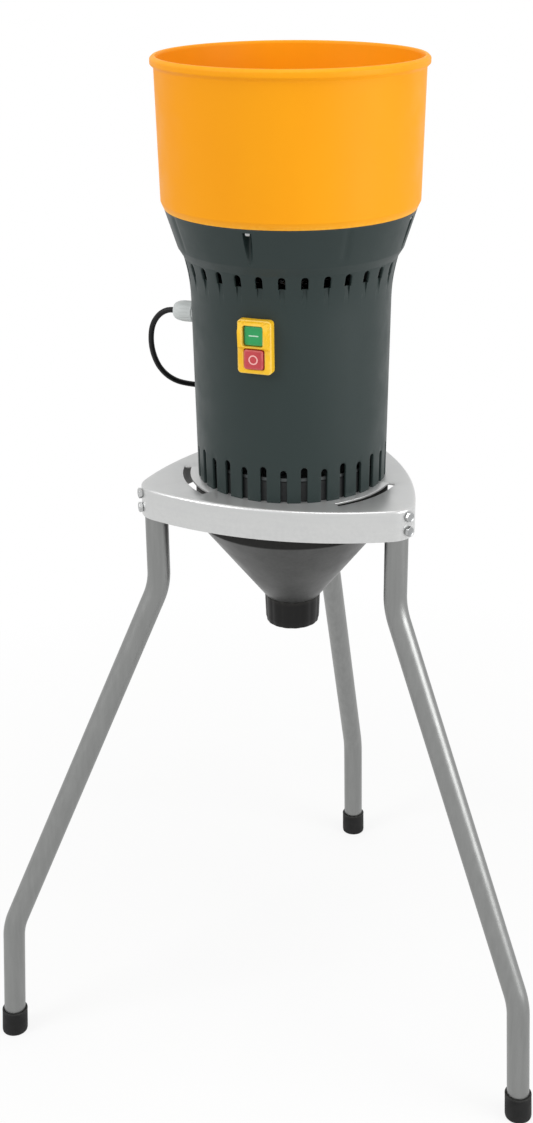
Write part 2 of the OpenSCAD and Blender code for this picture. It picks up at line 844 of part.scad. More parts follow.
module internal_leads() {
    body_side = body_w / 2 + 0.8;
    color(black) at_housing() {
        lead_arc(supply_r, switch_z, -90, -asin(body_side / supply_r));
        translate([-supply_r, 0, switch_z]) sphere(d = lead_d, $fn = 24);
        translate([-gland_end_r, 0, switch_z]) rotate([0, 90, 0])
            cylinder(h = gland_end_r - supply_r, d = lead_d, $fn = 24);
        lead_arc(start_r, switch_z - lead_drop, asin(body_side / start_r), 180 - asin(12 / start_r));
    }
}

// ---------- grinding chamber ----------

module clamp_circle() {
    for (a = [45 : 90 : 315]) toward(a) translate([0, -clamp_r, 0]) children();
}

module stud_circle() {
    for (a = [0 : 120 : 240]) toward(a) translate([0, -stud_r, 0]) children();
}

module chamber_plate() {
    color(silver) at_housing() difference() {
        cylinder_at(roof_z, motor_z, ring_out_r);
        cylinder_at(roof_z - 1, motor_z + 1, seal_d / 2 + fit_gap / 2);
        translate([0, 0, roof_z - 1]) linear_extrude(chamber_t + 2) chute_section(chute_wall);
        clamp_circle() cylinder_at(roof_z - 1, motor_z + 1, clamp_hole_d / 2);
        tie_circle() {
            cylinder_at(roof_z - 1, motor_z + 1, tie_hole_d / 2);
            translate([0, 0, roof_z - 0.1])
                cylinder(h = tie_head_h + 0.2, d1 = tie_head_d + 0.4, d2 = tie_hole_d);
        }
    }
}

module chamber_gasket() {
    color(black) at_housing() difference() {
        ring(ring_out_r - 0.5, ring_in_r, roof_z - gasket_t, roof_z);
        clamp_circle() cylinder_at(roof_z - 2, roof_z + 1, clamp_hole_d / 2);
    }
}

module chamber_ring() {
    color(graphite) at_housing() difference() {
        ring(ring_out_r, ring_in_r, stand_h, roof_z - gasket_t);
        clamp_circle() cylinder_at(stand_h - 1, roof_z, clamp_hole_d / 2);
        stud_circle() cylinder_at(stand_h - 1, stand_h + stud_in + 1, stud_d / 2 + fit_gap);
    }
}

module shaft_seal() {
    color(black) at_housing()
        ring(seal_d / 2, shaft_d / 2 + seal_gap, roof_z + slide_gap, motor_z - slide_gap);
}

module blade_spacer() {
    color(zinc) at_housing()
        ring(spacer_d / 2, shaft_d / 2 + shaft_gap, blade_z + blade_t, roof_z - 1);
}

module beater_blade() {
    color(silver) at_housing() difference() {
        union() {
            translate([-blade_len / 2, -blade_w / 2, blade_z]) cube([blade_len, blade_w, blade_t]);
            rotate([0, 0, 90]) translate([-blade_len / 2, -blade_w / 2, blade_z])
                cube([blade_len, blade_w, blade_t]);
        }
        cylinder_at(blade_z - 1, blade_z + blade_t + 1, shaft_end_d / 2 + shaft_gap);
    }
}

module blade_nut() {
    color(zinc) at_housing() translate([0, 0, blade_z - nut_h]) difference() {
        hex_prism(nut_af, nut_h);
        translate([0, 0, -1]) cylinder(h = nut_h + 2, r = shaft_end_d / 2 + shaft_gap);
    }
}

module sieve_ring() {
    foot = sieve_floor_z + sieve_floor_t;
    row_h = (plate_under - foot - 2 * sieve_edge) / sieve_rows;
    step = 360 / sieve_columns;
    color(zinc) at_housing() difference() {
        ring(sieve_r, sieve_r - sieve_t, foot, roof_z - gasket_t);
        for (row = [0 : sieve_rows - 1], i = [0 : sieve_columns - 1])
            rotate([0, 0, (i + (row % 2) / 2) * step])
                translate([sieve_r - 5, 0, foot + sieve_edge + (row + 0.5) * row_h])
                    rotate([0, 90, 0]) cylinder(h = 10, d = sieve_hole_d, $fn = 24);
    }
}

module sieve_floor() {
    color(zinc) at_housing() difference() {
        union() {
            cylinder_at(sieve_floor_z, sieve_floor_z + sieve_floor_t, floor_r);
            for (a = [0 : 120 : 240]) toward(a) translate([-ear_w / 2, -ear_r, sieve_floor_z])
                cube([ear_w, ear_r - floor_r + 5, sieve_floor_t]);
        }
        stud_circle() cylinder_at(sieve_floor_z - 1, sieve_floor_z + sieve_floor_t + 1, stud_hole_d / 2);
    }
}

module sieve_studs() {
    color(zinc) at_housing() stud_circle()
        cylinder_at(sieve_floor_z - wing_h - 3, stand_h + stud_in, stud_d / 2);
}

module sieve_wing_nuts() {
    color(zinc) at_housing() stud_circle() translate([0, 0, sieve_floor_z - wing_h]) difference() {
        union() {
            cylinder(h = wing_h, d = wing_d);
            translate([-wing_span / 2, -wing_t / 2, 0]) cube([wing_span, wing_t, wing_h - 1]);
        }
        translate([0, 0, -1]) cylinder(h = wing_h + 2, d = stud_d + 2 * fit_gap);
    }
}

// ---------- stand ----------

function arc_points(centre, r, mid, half, steps) = [
    for (i = [0 : steps]) let (a = mid - half + 2 * half * i / steps)
        centre + r * [cos(a), sin(a)]
];

function plate_outline(inset) = [
    for (k = [0 : 2]) let (side = -90 + 120 * k, corner = side + 60) each concat(
        arc_points(-side_back * [cos(side), sin(side)], side_arc_r - inset, side, side_half, side_steps),
        arc_points(corner_centre_r * [cos(corner), sin(corner)], plate_corner_r - inset,
            corner, 60 - side_half, corner_steps))
];

// Puts the local frame at a leg, with local -Y pointing out along it.
module at_leg(i) {
    at_mill() toward(leg_az[i]) children();
}

module leg_bolt_row(r_from, r_to, d) {
    for (z = leg_bolt_z) translate([0, -r_from, z]) rotate([90, 0, 0]) cylinder(h = r_to - r_from, d = d);
}

module stand_plate() {
    color(silver) difference() {
        at_mill() difference() {
            translate([0, 0, stand_h - skirt_h]) linear_extrude(skirt_h) polygon(plate_outline(0));
            translate([0, 0, stand_h - skirt_h - 1]) linear_extrude(skirt_h - plate_t + 1)
                polygon(plate_outline(plate_t));
            cylinder_at(plate_under - 1, stand_h + 1, plate_hole_r);
            for (a = leg_az) toward(a) rotate([0, 0, -90 - slot_half]) translate([0, 0, plate_under - 1])
                rotate_extrude(angle = 2 * slot_half) translate([slot_r - slot_w / 2, 0])
                    square([slot_w, plate_t + 2]);
        }
        at_housing() {
            clamp_circle() cylinder_at(plate_under - 1, stand_h + 1, clamp_hole_d / 2);
            stud_circle() cylinder_at(plate_under - 1, stand_h + 1, stud_hole_d / 2);
        }
        for (i = [0 : 2]) at_leg(i) leg_bolt_row(plate_tip_r - 8, plate_tip_r + 3, leg_bolt_hole_d);
    }
}

module housing_bolts() {
    foot = funnel_top - funnel_flange_t;
    color(zinc) at_housing() clamp_circle() {
        translate([0, 0, foot - hex_h]) hex_prism(hex_af, hex_h);
        cylinder_at(foot - 1, motor_z + clamp_bolt_in, clamp_d / 2);
    }
}

// Rod from a low point upwards in the local X-Z plane, leaning outwards at its foot.
module leaning_rod(low, length, lean, d) {
    translate([low[0], 0, low[1]]) rotate([0, -lean, 0]) cylinder(h = length, d = d);
}

module leg_section() {
    difference() {
        circle(d = leg_d);
        circle(d = leg_d - 2 * leg_wall);
    }
}

// Tube from the local origin down along -Z.
module leg_straight(length) {
    translate([0, 0, -length]) linear_extrude(length) leg_section();
}

// Bend in the X-Z plane about the local origin, on the -X or +X side. It is swept past both ends and
// trimmed there, so that its ends are the same planes as those of the straights.
module leg_bend(side, turn) {
    spare = 5;
    box = 3 * leg_d;
    start = side < 0 ? 180 - spare : -abs(turn) - spare;
    difference() {
        rotate([90, 0, 0]) rotate([0, 0, start]) rotate_extrude(angle = abs(turn) + 2 * spare)
            translate([leg_bend_r, 0]) leg_section();
        translate([side * leg_bend_r - box / 2, -box / 2, 0]) cube(box);
        rotate([0, turn, 0]) translate([side * leg_bend_r - box / 2, -box / 2, -box]) cube(box);
    }
}

// Whole run of the leg in the local X-Z plane, +X outwards, each length hung on the bend above it.
module leg_run() {
    low_turn = leg_slope - foot_lean;
    top_len = plate_under - leg_corner_z - top_tangent;
    slope_len = norm([leg_low_r - leg_circle_r, leg_corner_z - leg_low_h]) - top_tangent - low_tangent;
    foot_len = (leg_low_h - cap_floor) / cos(foot_lean) - low_tangent;
    translate([leg_circle_r + leg_bend_r, 0, leg_corner_z + top_tangent]) {
        translate([-leg_bend_r, 0, top_len]) leg_straight(top_len);
        leg_bend(-1, -leg_slope);
        rotate([0, -leg_slope, 0]) {
            translate([-leg_bend_r, 0, 0]) leg_straight(slope_len);
            translate([-2 * leg_bend_r, 0, -slope_len]) {
                leg_bend(1, low_turn);
                rotate([0, low_turn, 0]) translate([leg_bend_r, 0, 0]) leg_straight(foot_len);
            }
        }
    }
}

module leg(i) {
    color(tube_grey) at_leg(i) difference() {
        rotate([0, 0, -90]) leg_run();
        leg_bolt_row(leg_inner_r - 3, plate_tip_r, leg_bolt_hole_d);
    }
}

// Rubber cap about the leg's end, cut flat where it stands on the floor.
module foot(i) {
    sink = 6;
    color(black) at_leg(i) rotate([0, 0, -90]) difference() {
        leaning_rod([foot_circle_r + sink * tan(foot_lean), -sink], cap_h / cos(foot_lean) + sink,
            foot_lean, leg_d + 2 * cap_wall);
        leaning_rod([foot_circle_r - cap_floor * tan(foot_lean), cap_floor], cap_h, foot_lean,
            leg_d + fit_gap);
        translate([foot_circle_r - 40, -40, -30]) cube([80, 80, 30]);
    }
}

module leg_front_left() { leg(0); }
module leg_front_right() { leg(1); }
module leg_rear() { leg(2); }
module foot_front_left() { foot(0); }
module foot_front_right() { foot(1); }
module foot_rear() { foot(2); }

module leg_bolts() {
    tip = leg_inner_r - washer_t - leg_nut_h - leg_bolt_spare;
    color(zinc) for (i = [0 : 2]) at_leg(i) {
        leg_bolt_row(tip, plate_tip_r + 1, leg_bolt_d);
        for (z = leg_bolt_z) translate([0, -plate_tip_r, z]) rotate([90, 0, 0]) hex_prism(hex_af, hex_h);
    }
}

module leg_washers() {
    color(zinc) for (i = [0 : 2]) at_leg(i) difference() {
        leg_bolt_row(leg_inner_r - washer_t, leg_inner_r, washer_d);
        leg_bolt_row(leg_inner_r - washer_t - 1, leg_inner_r + 1, leg_bolt_hole_d);
    }
}

module leg_nuts() {
    nut_r = leg_inner_r - washer_t;
    color(zinc) for (i = [0 : 2]) at_leg(i) difference() {
        for (z = leg_bolt_z) translate([0, -nut_r + leg_nut_h, z]) rotate([90, 0, 0])
            hex_prism(hex_af, leg_nut_h);
        leg_bolt_row(nut_r - leg_nut_h - 1, nut_r + 1, leg_bolt_d + 2 * fit_gap);
    }
}

// ---------- discharge ----------

module discharge_funnel() {
    inner_r = funnel_r - funnel_wall;
    color(graphite) difference() {
        at_mill() difference() {
            union() {
                cylinder_at(cone_top_z, funnel_top, funnel_r);
                cone_between(cone_low_r, funnel_r, cone_low_z, cone_top_z);
                cylinder_at(cone_low_z - neck_len, cone_low_z, neck_r);
            }
            cylinder_at(cone_top_z, funnel_top - funnel_flange_t, inner_r);
            cylinder_at(funnel_top - funnel_flange_t - 1, funnel_top + 1, plate_hole_r);
            cone_between(neck_r - funnel_wall, inner_r, cone_low_z, cone_top_z);
            cylinder_at(cone_low_z - neck_len - 1, cone_low_z, neck_r - funnel_wall);
        }
        at_housing() {
            clamp_circle() cylinder_at(funnel_top - funnel_flange_t - 1, funnel_top + 1, clamp_hole_d / 2);
            stud_circle() cylinder_at(funnel_top - funnel_flange_t - 1, funnel_top + 1, stud_hole_d / 2);
        }
    }
}

module spout_collar() {
    color(black) at_mill() difference() {
        cone_between(collar_low_r, collar_top_r, collar_z, collar_top_z);
        cylinder_at(collar_z + collar_stop, collar_top_z + 1, neck_r + fit_gap);
        cylinder_at(collar_z - 1, collar_z + collar_stop + 1, neck_r - funnel_wall);
    }
}

// ---------- switch ----------

module at_switch(rise) {
    at_housing() translate([0, 0, switch_z + rise]) children();
}

module switch_frame() {
    color(yellow) difference() {
        at_switch(0) difference() {
            translate([0, -frame_face_r - frame_rim_out, 0])
                face_block(switch_w, switch_h, frame_depth, frame_corner);
            translate([0, -frame_face_r - frame_rim_out - 1, 0])
                face_block(switch_w - 2 * frame_rim_w, switch_h - 2 * frame_rim_w, frame_rim_out + 1, 2.5);
            translate([0, -frame_face_r + frame_t, 0])
                face_block(switch_w - 2 * frame_wall, switch_h - 2 * frame_wall, 20, 2);
            for (s = [-1, 1]) translate([0, -frame_face_r - 5, s * button_rise])
                face_block(button_w + 2 * button_gap, button_h + 2 * button_gap, 20, button_corner);
        }
        at_housing() rotate_extrude() housing_profile(-fit_gap);
    }
}

// Block behind the wall, with a lug on each side that reaches the frame beside the buttons.
module switch_body() {
    lug_w = (body_w - button_w) / 2 - 2 * button_gap;
    lug_h = body_h - 4;
    lug_out_r = frame_face_r - frame_t - fit_gap;
    color(black) at_switch(0) {
        translate([0, -body_face_r, 0]) face_block(body_w, body_h, body_depth, 1.5);
        for (s = [-1, 1]) translate([s * (body_w - lug_w) / 2 - lug_w / 2, -lug_out_r, -lug_h / 2])
            cube([lug_w, lug_out_r - body_face_r + 1, lug_h]);
        for (x = [-7, 7], z = [-14, -5, 5, 14])
            translate([x - tag_size[0] / 2, body_depth - body_face_r, z - tag_size[2] / 2]) cube(tag_size);
    }
}

module button(side, out, tint) {
    color(tint) at_switch(side * button_rise) translate([0, -frame_face_r - out, 0])
        face_block(button_w, button_h, frame_face_r + out - button_in_r, button_corner);
}

module start_button() {
    button(1, button_out[0], [0.18, 0.62, 0.37]);
}

module stop_button() {
    button(-1, button_out[1], [0.75, 0.27, 0.29]);
}

// Coil spring between the switch body and a button, along Y.
module button_spring(side) {
    start = body_face_r + spring_wire / 2 + fit_gap / 2;
    span = button_in_r - body_face_r - spring_wire - fit_gap;
    steps = spring_turns * spring_steps;
    path = [for (i = [0 : steps]) let (turn = 360 * i / spring_steps)
        [spring_r * cos(turn), -start - span * i / steps, spring_r * sin(turn)]];
    color(zinc) at_switch(side * button_rise) swept_tube(path, spring_wire / 2, 6, [0, 1, 0]);
}

module start_spring() { button_spring(1); }
module stop_spring() { button_spring(-1); }

// ---------- gland and mains lead ----------

// Local +Z points out of the wall along the housing's -X side, with z = 0 on the wall.
module at_gland() {
    at_housing() translate([-gland_wall_r, 0, switch_z]) rotate([0, -90, 0]) children();
}

module gland_body() {
    inside = housing_wall + gland_in;
    color(gland_grey) at_gland() difference() {
        union() {
            translate([0, 0, 0.5]) hex_prism(gland_hex_af, gland_hex_t);
            translate([0, 0, -inside]) cylinder(h = inside + gland_hex_t + 8, d = gland_thread_d);
        }
        translate([0, 0, -inside - 1]) cylinder(h = inside + 40, d = gland_bore_d);
    }
}

module gland_seal() {
    color(black) at_gland() translate([0, 0, 2]) difference() {
        cylinder(h = gland_seal_t, d = gland_bore_d);
        translate([0, 0, -1]) cylinder(h = gland_seal_t + 2, d = cord_d + 2 * fit_gap);
    }
}

module gland_nut() {
    nut_z = gland_hex_t + 1;
    color(gland_grey) at_gland() difference() {
        union() {
            translate([0, 0, nut_z]) cylinder(h = gland_out - nut_z - gland_dome_h, d = gland_nut_d);
            translate([0, 0, gland_out - gland_dome_h])
                cylinder(h = gland_dome_h, d1 = gland_nut_d, d2 = gland_dome_d);
        }
        translate([0, 0, nut_z - 1]) cylinder(h = 9.5, d = gland_thread_d + 2 * fit_gap);
        translate([0, 0, nut_z]) cylinder(h = gland_out, d = cord_d + 2 * fit_gap);
    }
}

module gland_locknut() {
    color(gland_grey) at_gland() translate([0, 0, -housing_wall - locknut_t - 1.5]) difference() {
        hex_prism(locknut_af, locknut_t);
        translate([0, 0, -1]) cylinder(h = locknut_t + 2, d = gland_thread_d + 2 * fit_gap);
    }
}

module mains_cord() {
    color(black) at_mill() {
        translate([0, 0, stand_h]) {
            swept_tube(cord_route, cord_d / 2, cord_sides, [0.3, -0.9, 0.3]);
            swept_tube(plug_route, cord_d / 2, cord_sides, [0.1, 0.1, 1]);
        }
        rotate([0, 0, housing_turn]) translate([-gland_tip_r - cord_lead, 0, switch_z]) rotate([0, 90, 0])
            cylinder(h = cord_lead + gland_out + housing_wall + gland_in - fit_gap, d = cord_d);
    }
}

module cord_coil() {
    color(black) at_mill() translate([coil_at[0], coil_at[1], stand_h])
        ring(coil_out_r, coil_in_r, 0, coil_h);
}

module mains_plug() {
    back = plug_route[len(plug_route) - 1];
    color(black) at_mill() translate([back[0], back[1], back[2] + stand_h]) rotate([0, -90, 0]) {
        cylinder(h = plug_relief, d1 = cord_d + 3, d2 = cord_d + 6);
        translate([0, 0, plug_relief]) {
            cylinder(h = plug_neck_h, d1 = plug_neck_d, d2 = plug_d);
            translate([0, 0, plug_neck_h]) cylinder(h = plug_len - plug_neck_h, d = plug_d);
            for (s = [-1, 1]) translate([0, s * pin_apart / 2, plug_len]) cylinder(h = pin_len, d = pin_d);
        }
    }
}

module cord_tie() {
    mid = (coil_in_r + coil_out_r) / 2;
    room = [coil_out_r - coil_in_r + 0.4, coil_h + 0.2];
    color(black) at_mill() translate([coil_at[0] + mid, coil_at[1] + tie_band_w / 2, stand_h])
        rotate([90, 0, 0]) linear_extrude(tie_band_w) difference() {
            translate([-room[0] / 2 - tie_band_t, 0]) square(room + [2 * tie_band_t, tie_band_t]);
            translate([-room[0] / 2, -1]) square(room + [0, 1]);
        }
}

hopper();
feed_gate();
gate_knob();
hopper_screws();
housing();
feed_chute();
motor_stator();
motor_windings();
upper_motor_bracket();
lower_motor_bracket();
upper_bearing();
lower_bearing();
motor_shaft();
rotor_core();
cooling_fan();
motor_tie_bolts();
motor_tie_nuts();
capacitor();
capacitor_clip();
internal_leads();
chamber_plate();
chamber_gasket();
chamber_ring();
shaft_seal();
blade_spacer();
beater_blade();
blade_nut();
sieve_ring();
sieve_floor();
sieve_studs();
sieve_wing_nuts();
stand_plate();
housing_bolts();
discharge_funnel();
spout_collar();
leg_front_left();
leg_front_right();
leg_rear();
foot_front_left();
foot_front_right();
foot_rear();
leg_bolts();
leg_washers();
leg_nuts();
switch_frame();
switch_body();
start_button();
stop_button();
start_spring();
stop_spring();
gland_body();
gland_seal();
gland_nut();
gland_locknut();
mains_cord();
cord_coil();
mains_plug();
cord_tie();
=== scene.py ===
"""Electric grain mill on a tripod: the detailed visual model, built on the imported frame."""
import json
from math import atan2, cos, degrees, exp, hypot, pi, radians, sin, sqrt, tan

import bmesh
import bpy
from mathutils import Matrix, Vector
from mathutils.geometry import delaunay_2d_cdt

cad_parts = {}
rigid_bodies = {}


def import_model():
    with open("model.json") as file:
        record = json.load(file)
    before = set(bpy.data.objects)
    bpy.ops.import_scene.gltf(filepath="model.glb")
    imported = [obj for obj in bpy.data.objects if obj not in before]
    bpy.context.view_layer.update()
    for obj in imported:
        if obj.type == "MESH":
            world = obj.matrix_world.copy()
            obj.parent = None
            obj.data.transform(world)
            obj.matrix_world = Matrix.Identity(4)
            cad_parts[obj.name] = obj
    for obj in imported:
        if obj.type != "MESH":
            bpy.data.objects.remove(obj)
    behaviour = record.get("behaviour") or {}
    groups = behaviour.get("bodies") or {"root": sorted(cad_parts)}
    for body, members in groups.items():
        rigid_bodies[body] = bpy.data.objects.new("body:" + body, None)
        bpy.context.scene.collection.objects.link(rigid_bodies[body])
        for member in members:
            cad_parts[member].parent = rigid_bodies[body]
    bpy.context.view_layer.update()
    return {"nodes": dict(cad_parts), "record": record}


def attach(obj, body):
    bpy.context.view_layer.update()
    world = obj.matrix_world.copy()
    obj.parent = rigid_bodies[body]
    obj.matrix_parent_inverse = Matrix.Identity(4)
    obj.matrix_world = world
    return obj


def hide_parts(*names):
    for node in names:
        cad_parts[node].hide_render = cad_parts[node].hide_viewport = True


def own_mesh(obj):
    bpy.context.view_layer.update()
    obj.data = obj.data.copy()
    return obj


for piece in list(bpy.data.objects):
    bpy.data.objects.remove(piece)
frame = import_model()

# ---------- sizes, in millimetres, as in the CAD source ----------

MM = 0.001
AXIS_Y = -87.25
HOUSING_TURN = -5
STAND_H = 679
SHEET = 2
HOUSING_TOP = 968
HOUSING_TOP_R = 130
RIM_Z = 1117
SWITCH_Z = 847
LEG_AZ = (-60, 60, 180)
LEG_NAMES = ("front_left", "front_right", "rear")
CORD_D = 6.2
COIL_AT = (0, 152)
COIL_IN_R = 27.8


def polar(r, angle, z=0.0):
    return Vector((r * cos(angle), r * sin(angle), z))


def turned(angle, axis="Z"):
    return Matrix.Rotation(radians(angle), 4, axis)


def add_object(name, data):
    thing = bpy.data.objects.new(name, data)
    bpy.context.scene.collection.objects.link(thing)
    return thing


MILL = Matrix.Translation((0, AXIS_Y, 0))
HOUSING = MILL @ turned(HOUSING_TURN)

# ---------- camera ----------

IMAGE_H = 1123
FOCAL_PX = 1610.43
SHIFT_PX = (-25.87, -15.76)
CAMERA_AZ = 14.35
CAMERA_PITCH = 22.81
CAMERA_ROLL = -0.25
CAMERA_DISTANCE = 1656.71
CAMERA_HEIGHT = 1285.6


def make_camera():
    data = bpy.data.cameras.new("camera")
    data.sensor_fit = "VERTICAL"
    data.sensor_height = 24
    data.lens = FOCAL_PX / IMAGE_H * data.sensor_height
    data.shift_x = SHIFT_PX[0] / IMAGE_H
    data.shift_y = SHIFT_PX[1] / IMAGE_H
    data.clip_start = 0.01
    data.clip_end = 100
    camera = add_object("camera", data)
    place = MILL @ polar(CAMERA_DISTANCE, radians(CAMERA_AZ - 90), CAMERA_HEIGHT)
    turn = turned(CAMERA_AZ) @ turned(90 - CAMERA_PITCH, "X") @ turned(CAMERA_ROLL)
    camera.matrix_world = Matrix.Translation(place * MM) @ turn
    bpy.context.scene.camera = camera


make_camera()

# ---------- materials ----------


def srgb(code):
    values = [int(code[i : i + 2], 16) / 255 for i in (0, 2, 4)]
    return [v / 12.92 if v <= 0.04045 else ((v + 0.055) / 1.055) ** 2.4 for v in values] + [1]


class Nodes:
    """Node tree whose inputs take numbers, colours or other nodes' sockets."""

    def __init__(self, tree, output):
        self.tree = tree
        tree.nodes.clear()
        self.out = self.node(output)

    def feed(self, value, socket):
        if isinstance(value, bpy.types.NodeSocket):
            self.tree.links.new(value, socket)
        else:
            socket.default_value = value

    def fill(self, node, **inputs):
        for name, value in inputs.items():
            self.feed(value, node.inputs[name.replace("_", " ")])

    def node(self, kind, **inputs):
        node = self.tree.nodes.new("ShaderNode" + kind)
        self.fill(node, **inputs)
        return node

    def math(self, operation, *values):
        node = self.node("Math")
        node.operation = operation
        for value, socket in zip(values, node.inputs):
            self.feed(value, socket)
        return node.outputs[0]

    def looked_at(self):
        """1 for what the camera sees, straight or in a reflection, and 0 for other light."""
        rays = self.node("LightPath").outputs
        return self.math("MAXIMUM", rays["Is Camera Ray"], rays["Is Glossy Ray"])

    def show_mix(self, factor, a, b):
        """Sends a mix of two shader nodes to the output."""
        mix = self.node("MixShader")
        for value, socket in zip((factor, a.outputs[0], b.outputs[0]), mix.inputs):
            self.feed(value, socket)
        self.feed(mix.outputs[0], self.out.inputs[0])


class Look(Nodes):
    """Node material with a Principled shader."""

    def __init__(self, name):
        self.material = bpy.data.materials.new(name)
        self.material.use_nodes = True
        super().__init__(self.material.node_tree, "OutputMaterial")
        self.shader = self.node("BsdfPrincipled")
        self.feed(self.shader.outputs[0], self.out.inputs[0])
        self.coords = self.node("TexCoord").outputs["Object"]

    def stretched(self, scale):
        return self.node("Mapping", Vector=self.coords, Scale=scale).outputs[0]

    def noise(self, scale, detail=4, coords=None):
        node = self.node("TexNoise", Vector=coords or self.coords, Scale=scale, Detail=detail, Roughness=0.55)
        return node.outputs["Fac"]

    def span(self, value, low, high, from_low=0.3, from_high=0.7):
        """A value between two limits, spread from low to high."""
        limits = {"From_Min": from_low, "From_Max": from_high, "To_Min": low, "To_Max": high}
        return self.node("MapRange", Value=value, **limits).outputs[0]

    def mix(self, factor, a, b):
        node = self.node("Mix")
        node.data_type = "RGBA"
        for value, i in ((factor, 0), (a, 6), (b, 7)):
            self.feed(value, node.inputs[i])
        return node.outputs[2]

    def clouded(self, base, dark, noise, *limits):
        """Base colour with clouds of the darker one where the noise is high."""
        return self.mix(self.span(noise, 0, 1, *limits), srgb(base), srgb(dark))

    def rubbed_and_highlit(self, color, light, amount=0.5):
        """Colour, lighter where the mesh is marked as an edge, broken up by a fine noise: partly rubbed wear,
        partly painted highlight along the edges.
        """
        mark = self.node("Attribute")
        mark.attribute_name = "edge"
        broken = self.span(self.noise(260, 3), 0.2 * amount, amount)
        return self.mix(self.math("MULTIPLY", mark.outputs["Fac"], broken), color, srgb(light))

    def dress(self, color, rough, height, distance, strength, **more):
        """Gives the shader its colour, roughness, bump and other inputs."""
        bump = self.node("Bump", Height=height, Distance=distance, Strength=strength)
        self.fill(self.shader, Base_Color=color, Roughness=rough, Normal=bump.outputs[0], **more)
        return self.material


def plastic(name, base, dark, light, rough, grain, depth, gloss, scale):
    """Moulded plastic: faint flow in the colour, fine spark-eroded grain, lighter edges that are partly
    rubbed wear and partly painted highlight.
    """
    look = Look(name)
    flow = look.clouded(base, dark, look.noise(scale, 3, look.stretched((1, 1, 0.35))), 0.32, 0.68)
    roughness = look.span(look.noise(38, 5), rough - 0.05, rough + 0.07)
    grains = look.math("MULTIPLY_ADD", look.noise(grain * 0.31, 2), 0.5, look.noise(grain, 2))
    return look.dress(look.rubbed_and_highlit(flow, light), roughness, grains, depth, 0.6, Specular_IOR_Level=gloss)


def paint(name, base, dark, light, rough, metal, streak, flake):
    """Metallic paint: fine flakes, soft streaks along the piece and a slight orange peel."""
    look = Look(name)
    streaks = look.clouded(base, dark, look.noise(26, 5, look.stretched(streak)), 0.25, 0.75)
    body = look.mix(look.span(look.noise(5200, 1), 0, flake), streaks, srgb(light))
    roughness = look.span(look.noise(60, 4), rough - 0.02, rough + 0.04)
    peel = look.math("MULTIPLY_ADD", look.noise(60, 2), 0.15, look.noise(900, 2))
    # The lighter colour on marked edges is partly rubbed wear, partly painted highlight.
    return look.dress(look.rubbed_and_highlit(body, light, 0.4), roughness, peel, 0.000003, 0.4, Metallic=metal)


def bare_metal(name, base, dark, rough, grain, scale, depth, metal):
    """Bare or plated metal: a grain along one way, cloudy plating and fine scratches."""
    look = Look(name)
    cloud = look.clouded(base, dark, look.noise(45, 5))
    lines = look.noise(scale, 4, look.stretched(grain))
    roughness = look.span(lines, rough - 0.07, rough + 0.1)
    # The pale colour on marked edges is partly rubbed wear, partly painted highlight.
    return look.dress(look.rubbed_and_highlit(cloud, "F4F4F2"), roughness, lines, depth, 0.5, Metallic=metal)


def rubber(name, base, dark, rough, scale, depth):
    """Rubber or soft sheathing: dusty, with a fine grain."""
    look = Look(name)
    dust = look.clouded(base, dark, look.noise(30, 5), 0.35, 0.75)
    roughness = look.span(look.noise(90, 4), rough - 0.08, rough + 0.1)
    # The grey on marked edges is partly rubbed dust, partly painted highlight.
    return look.dress(look.rubbed_and_highlit(dust, "5A5A58"), roughness, look.noise(scale, 3), depth, 0.6,
                      Specular_IOR_Level=0.25)


def laminated(name, base, dark):
    """Stack of varnished sheets: fine lines round the piece, one above the other."""
    look = Look(name)
    wave = look.node("TexWave", Vector=look.coords, Scale=320, Distortion=0.4)
    wave.bands_direction = "Z"
    sheets = wave.outputs["Fac"]
    cloud = look.clouded(base, dark, look.noise(70))
    return look.dress(cloud, look.span(sheets, 0.35, 0.55, 0, 1), sheets, 0.0001, 0.7, Metallic=0.7)


def wound(name, base, dark):
    """Varnished copper wire laid round in bundles."""
    look = Look(name)
    wave = look.node("TexWave", Vector=look.stretched((1, 1, 0.5)), Scale=260, Distortion=2.5, Detail_Scale=3)
    wave.wave_type = "RINGS"
    wave.rings_direction = "Z"
    wires = wave.outputs["Fac"]
    return look.dress(look.mix(wires, srgb(dark), srgb(base)), look.span(wires, 0.45, 0.25, 0, 1), wires,
                      0.0003, 0.8, Metallic=0.6, Coat_Weight=0.5, Coat_Roughness=0.15)
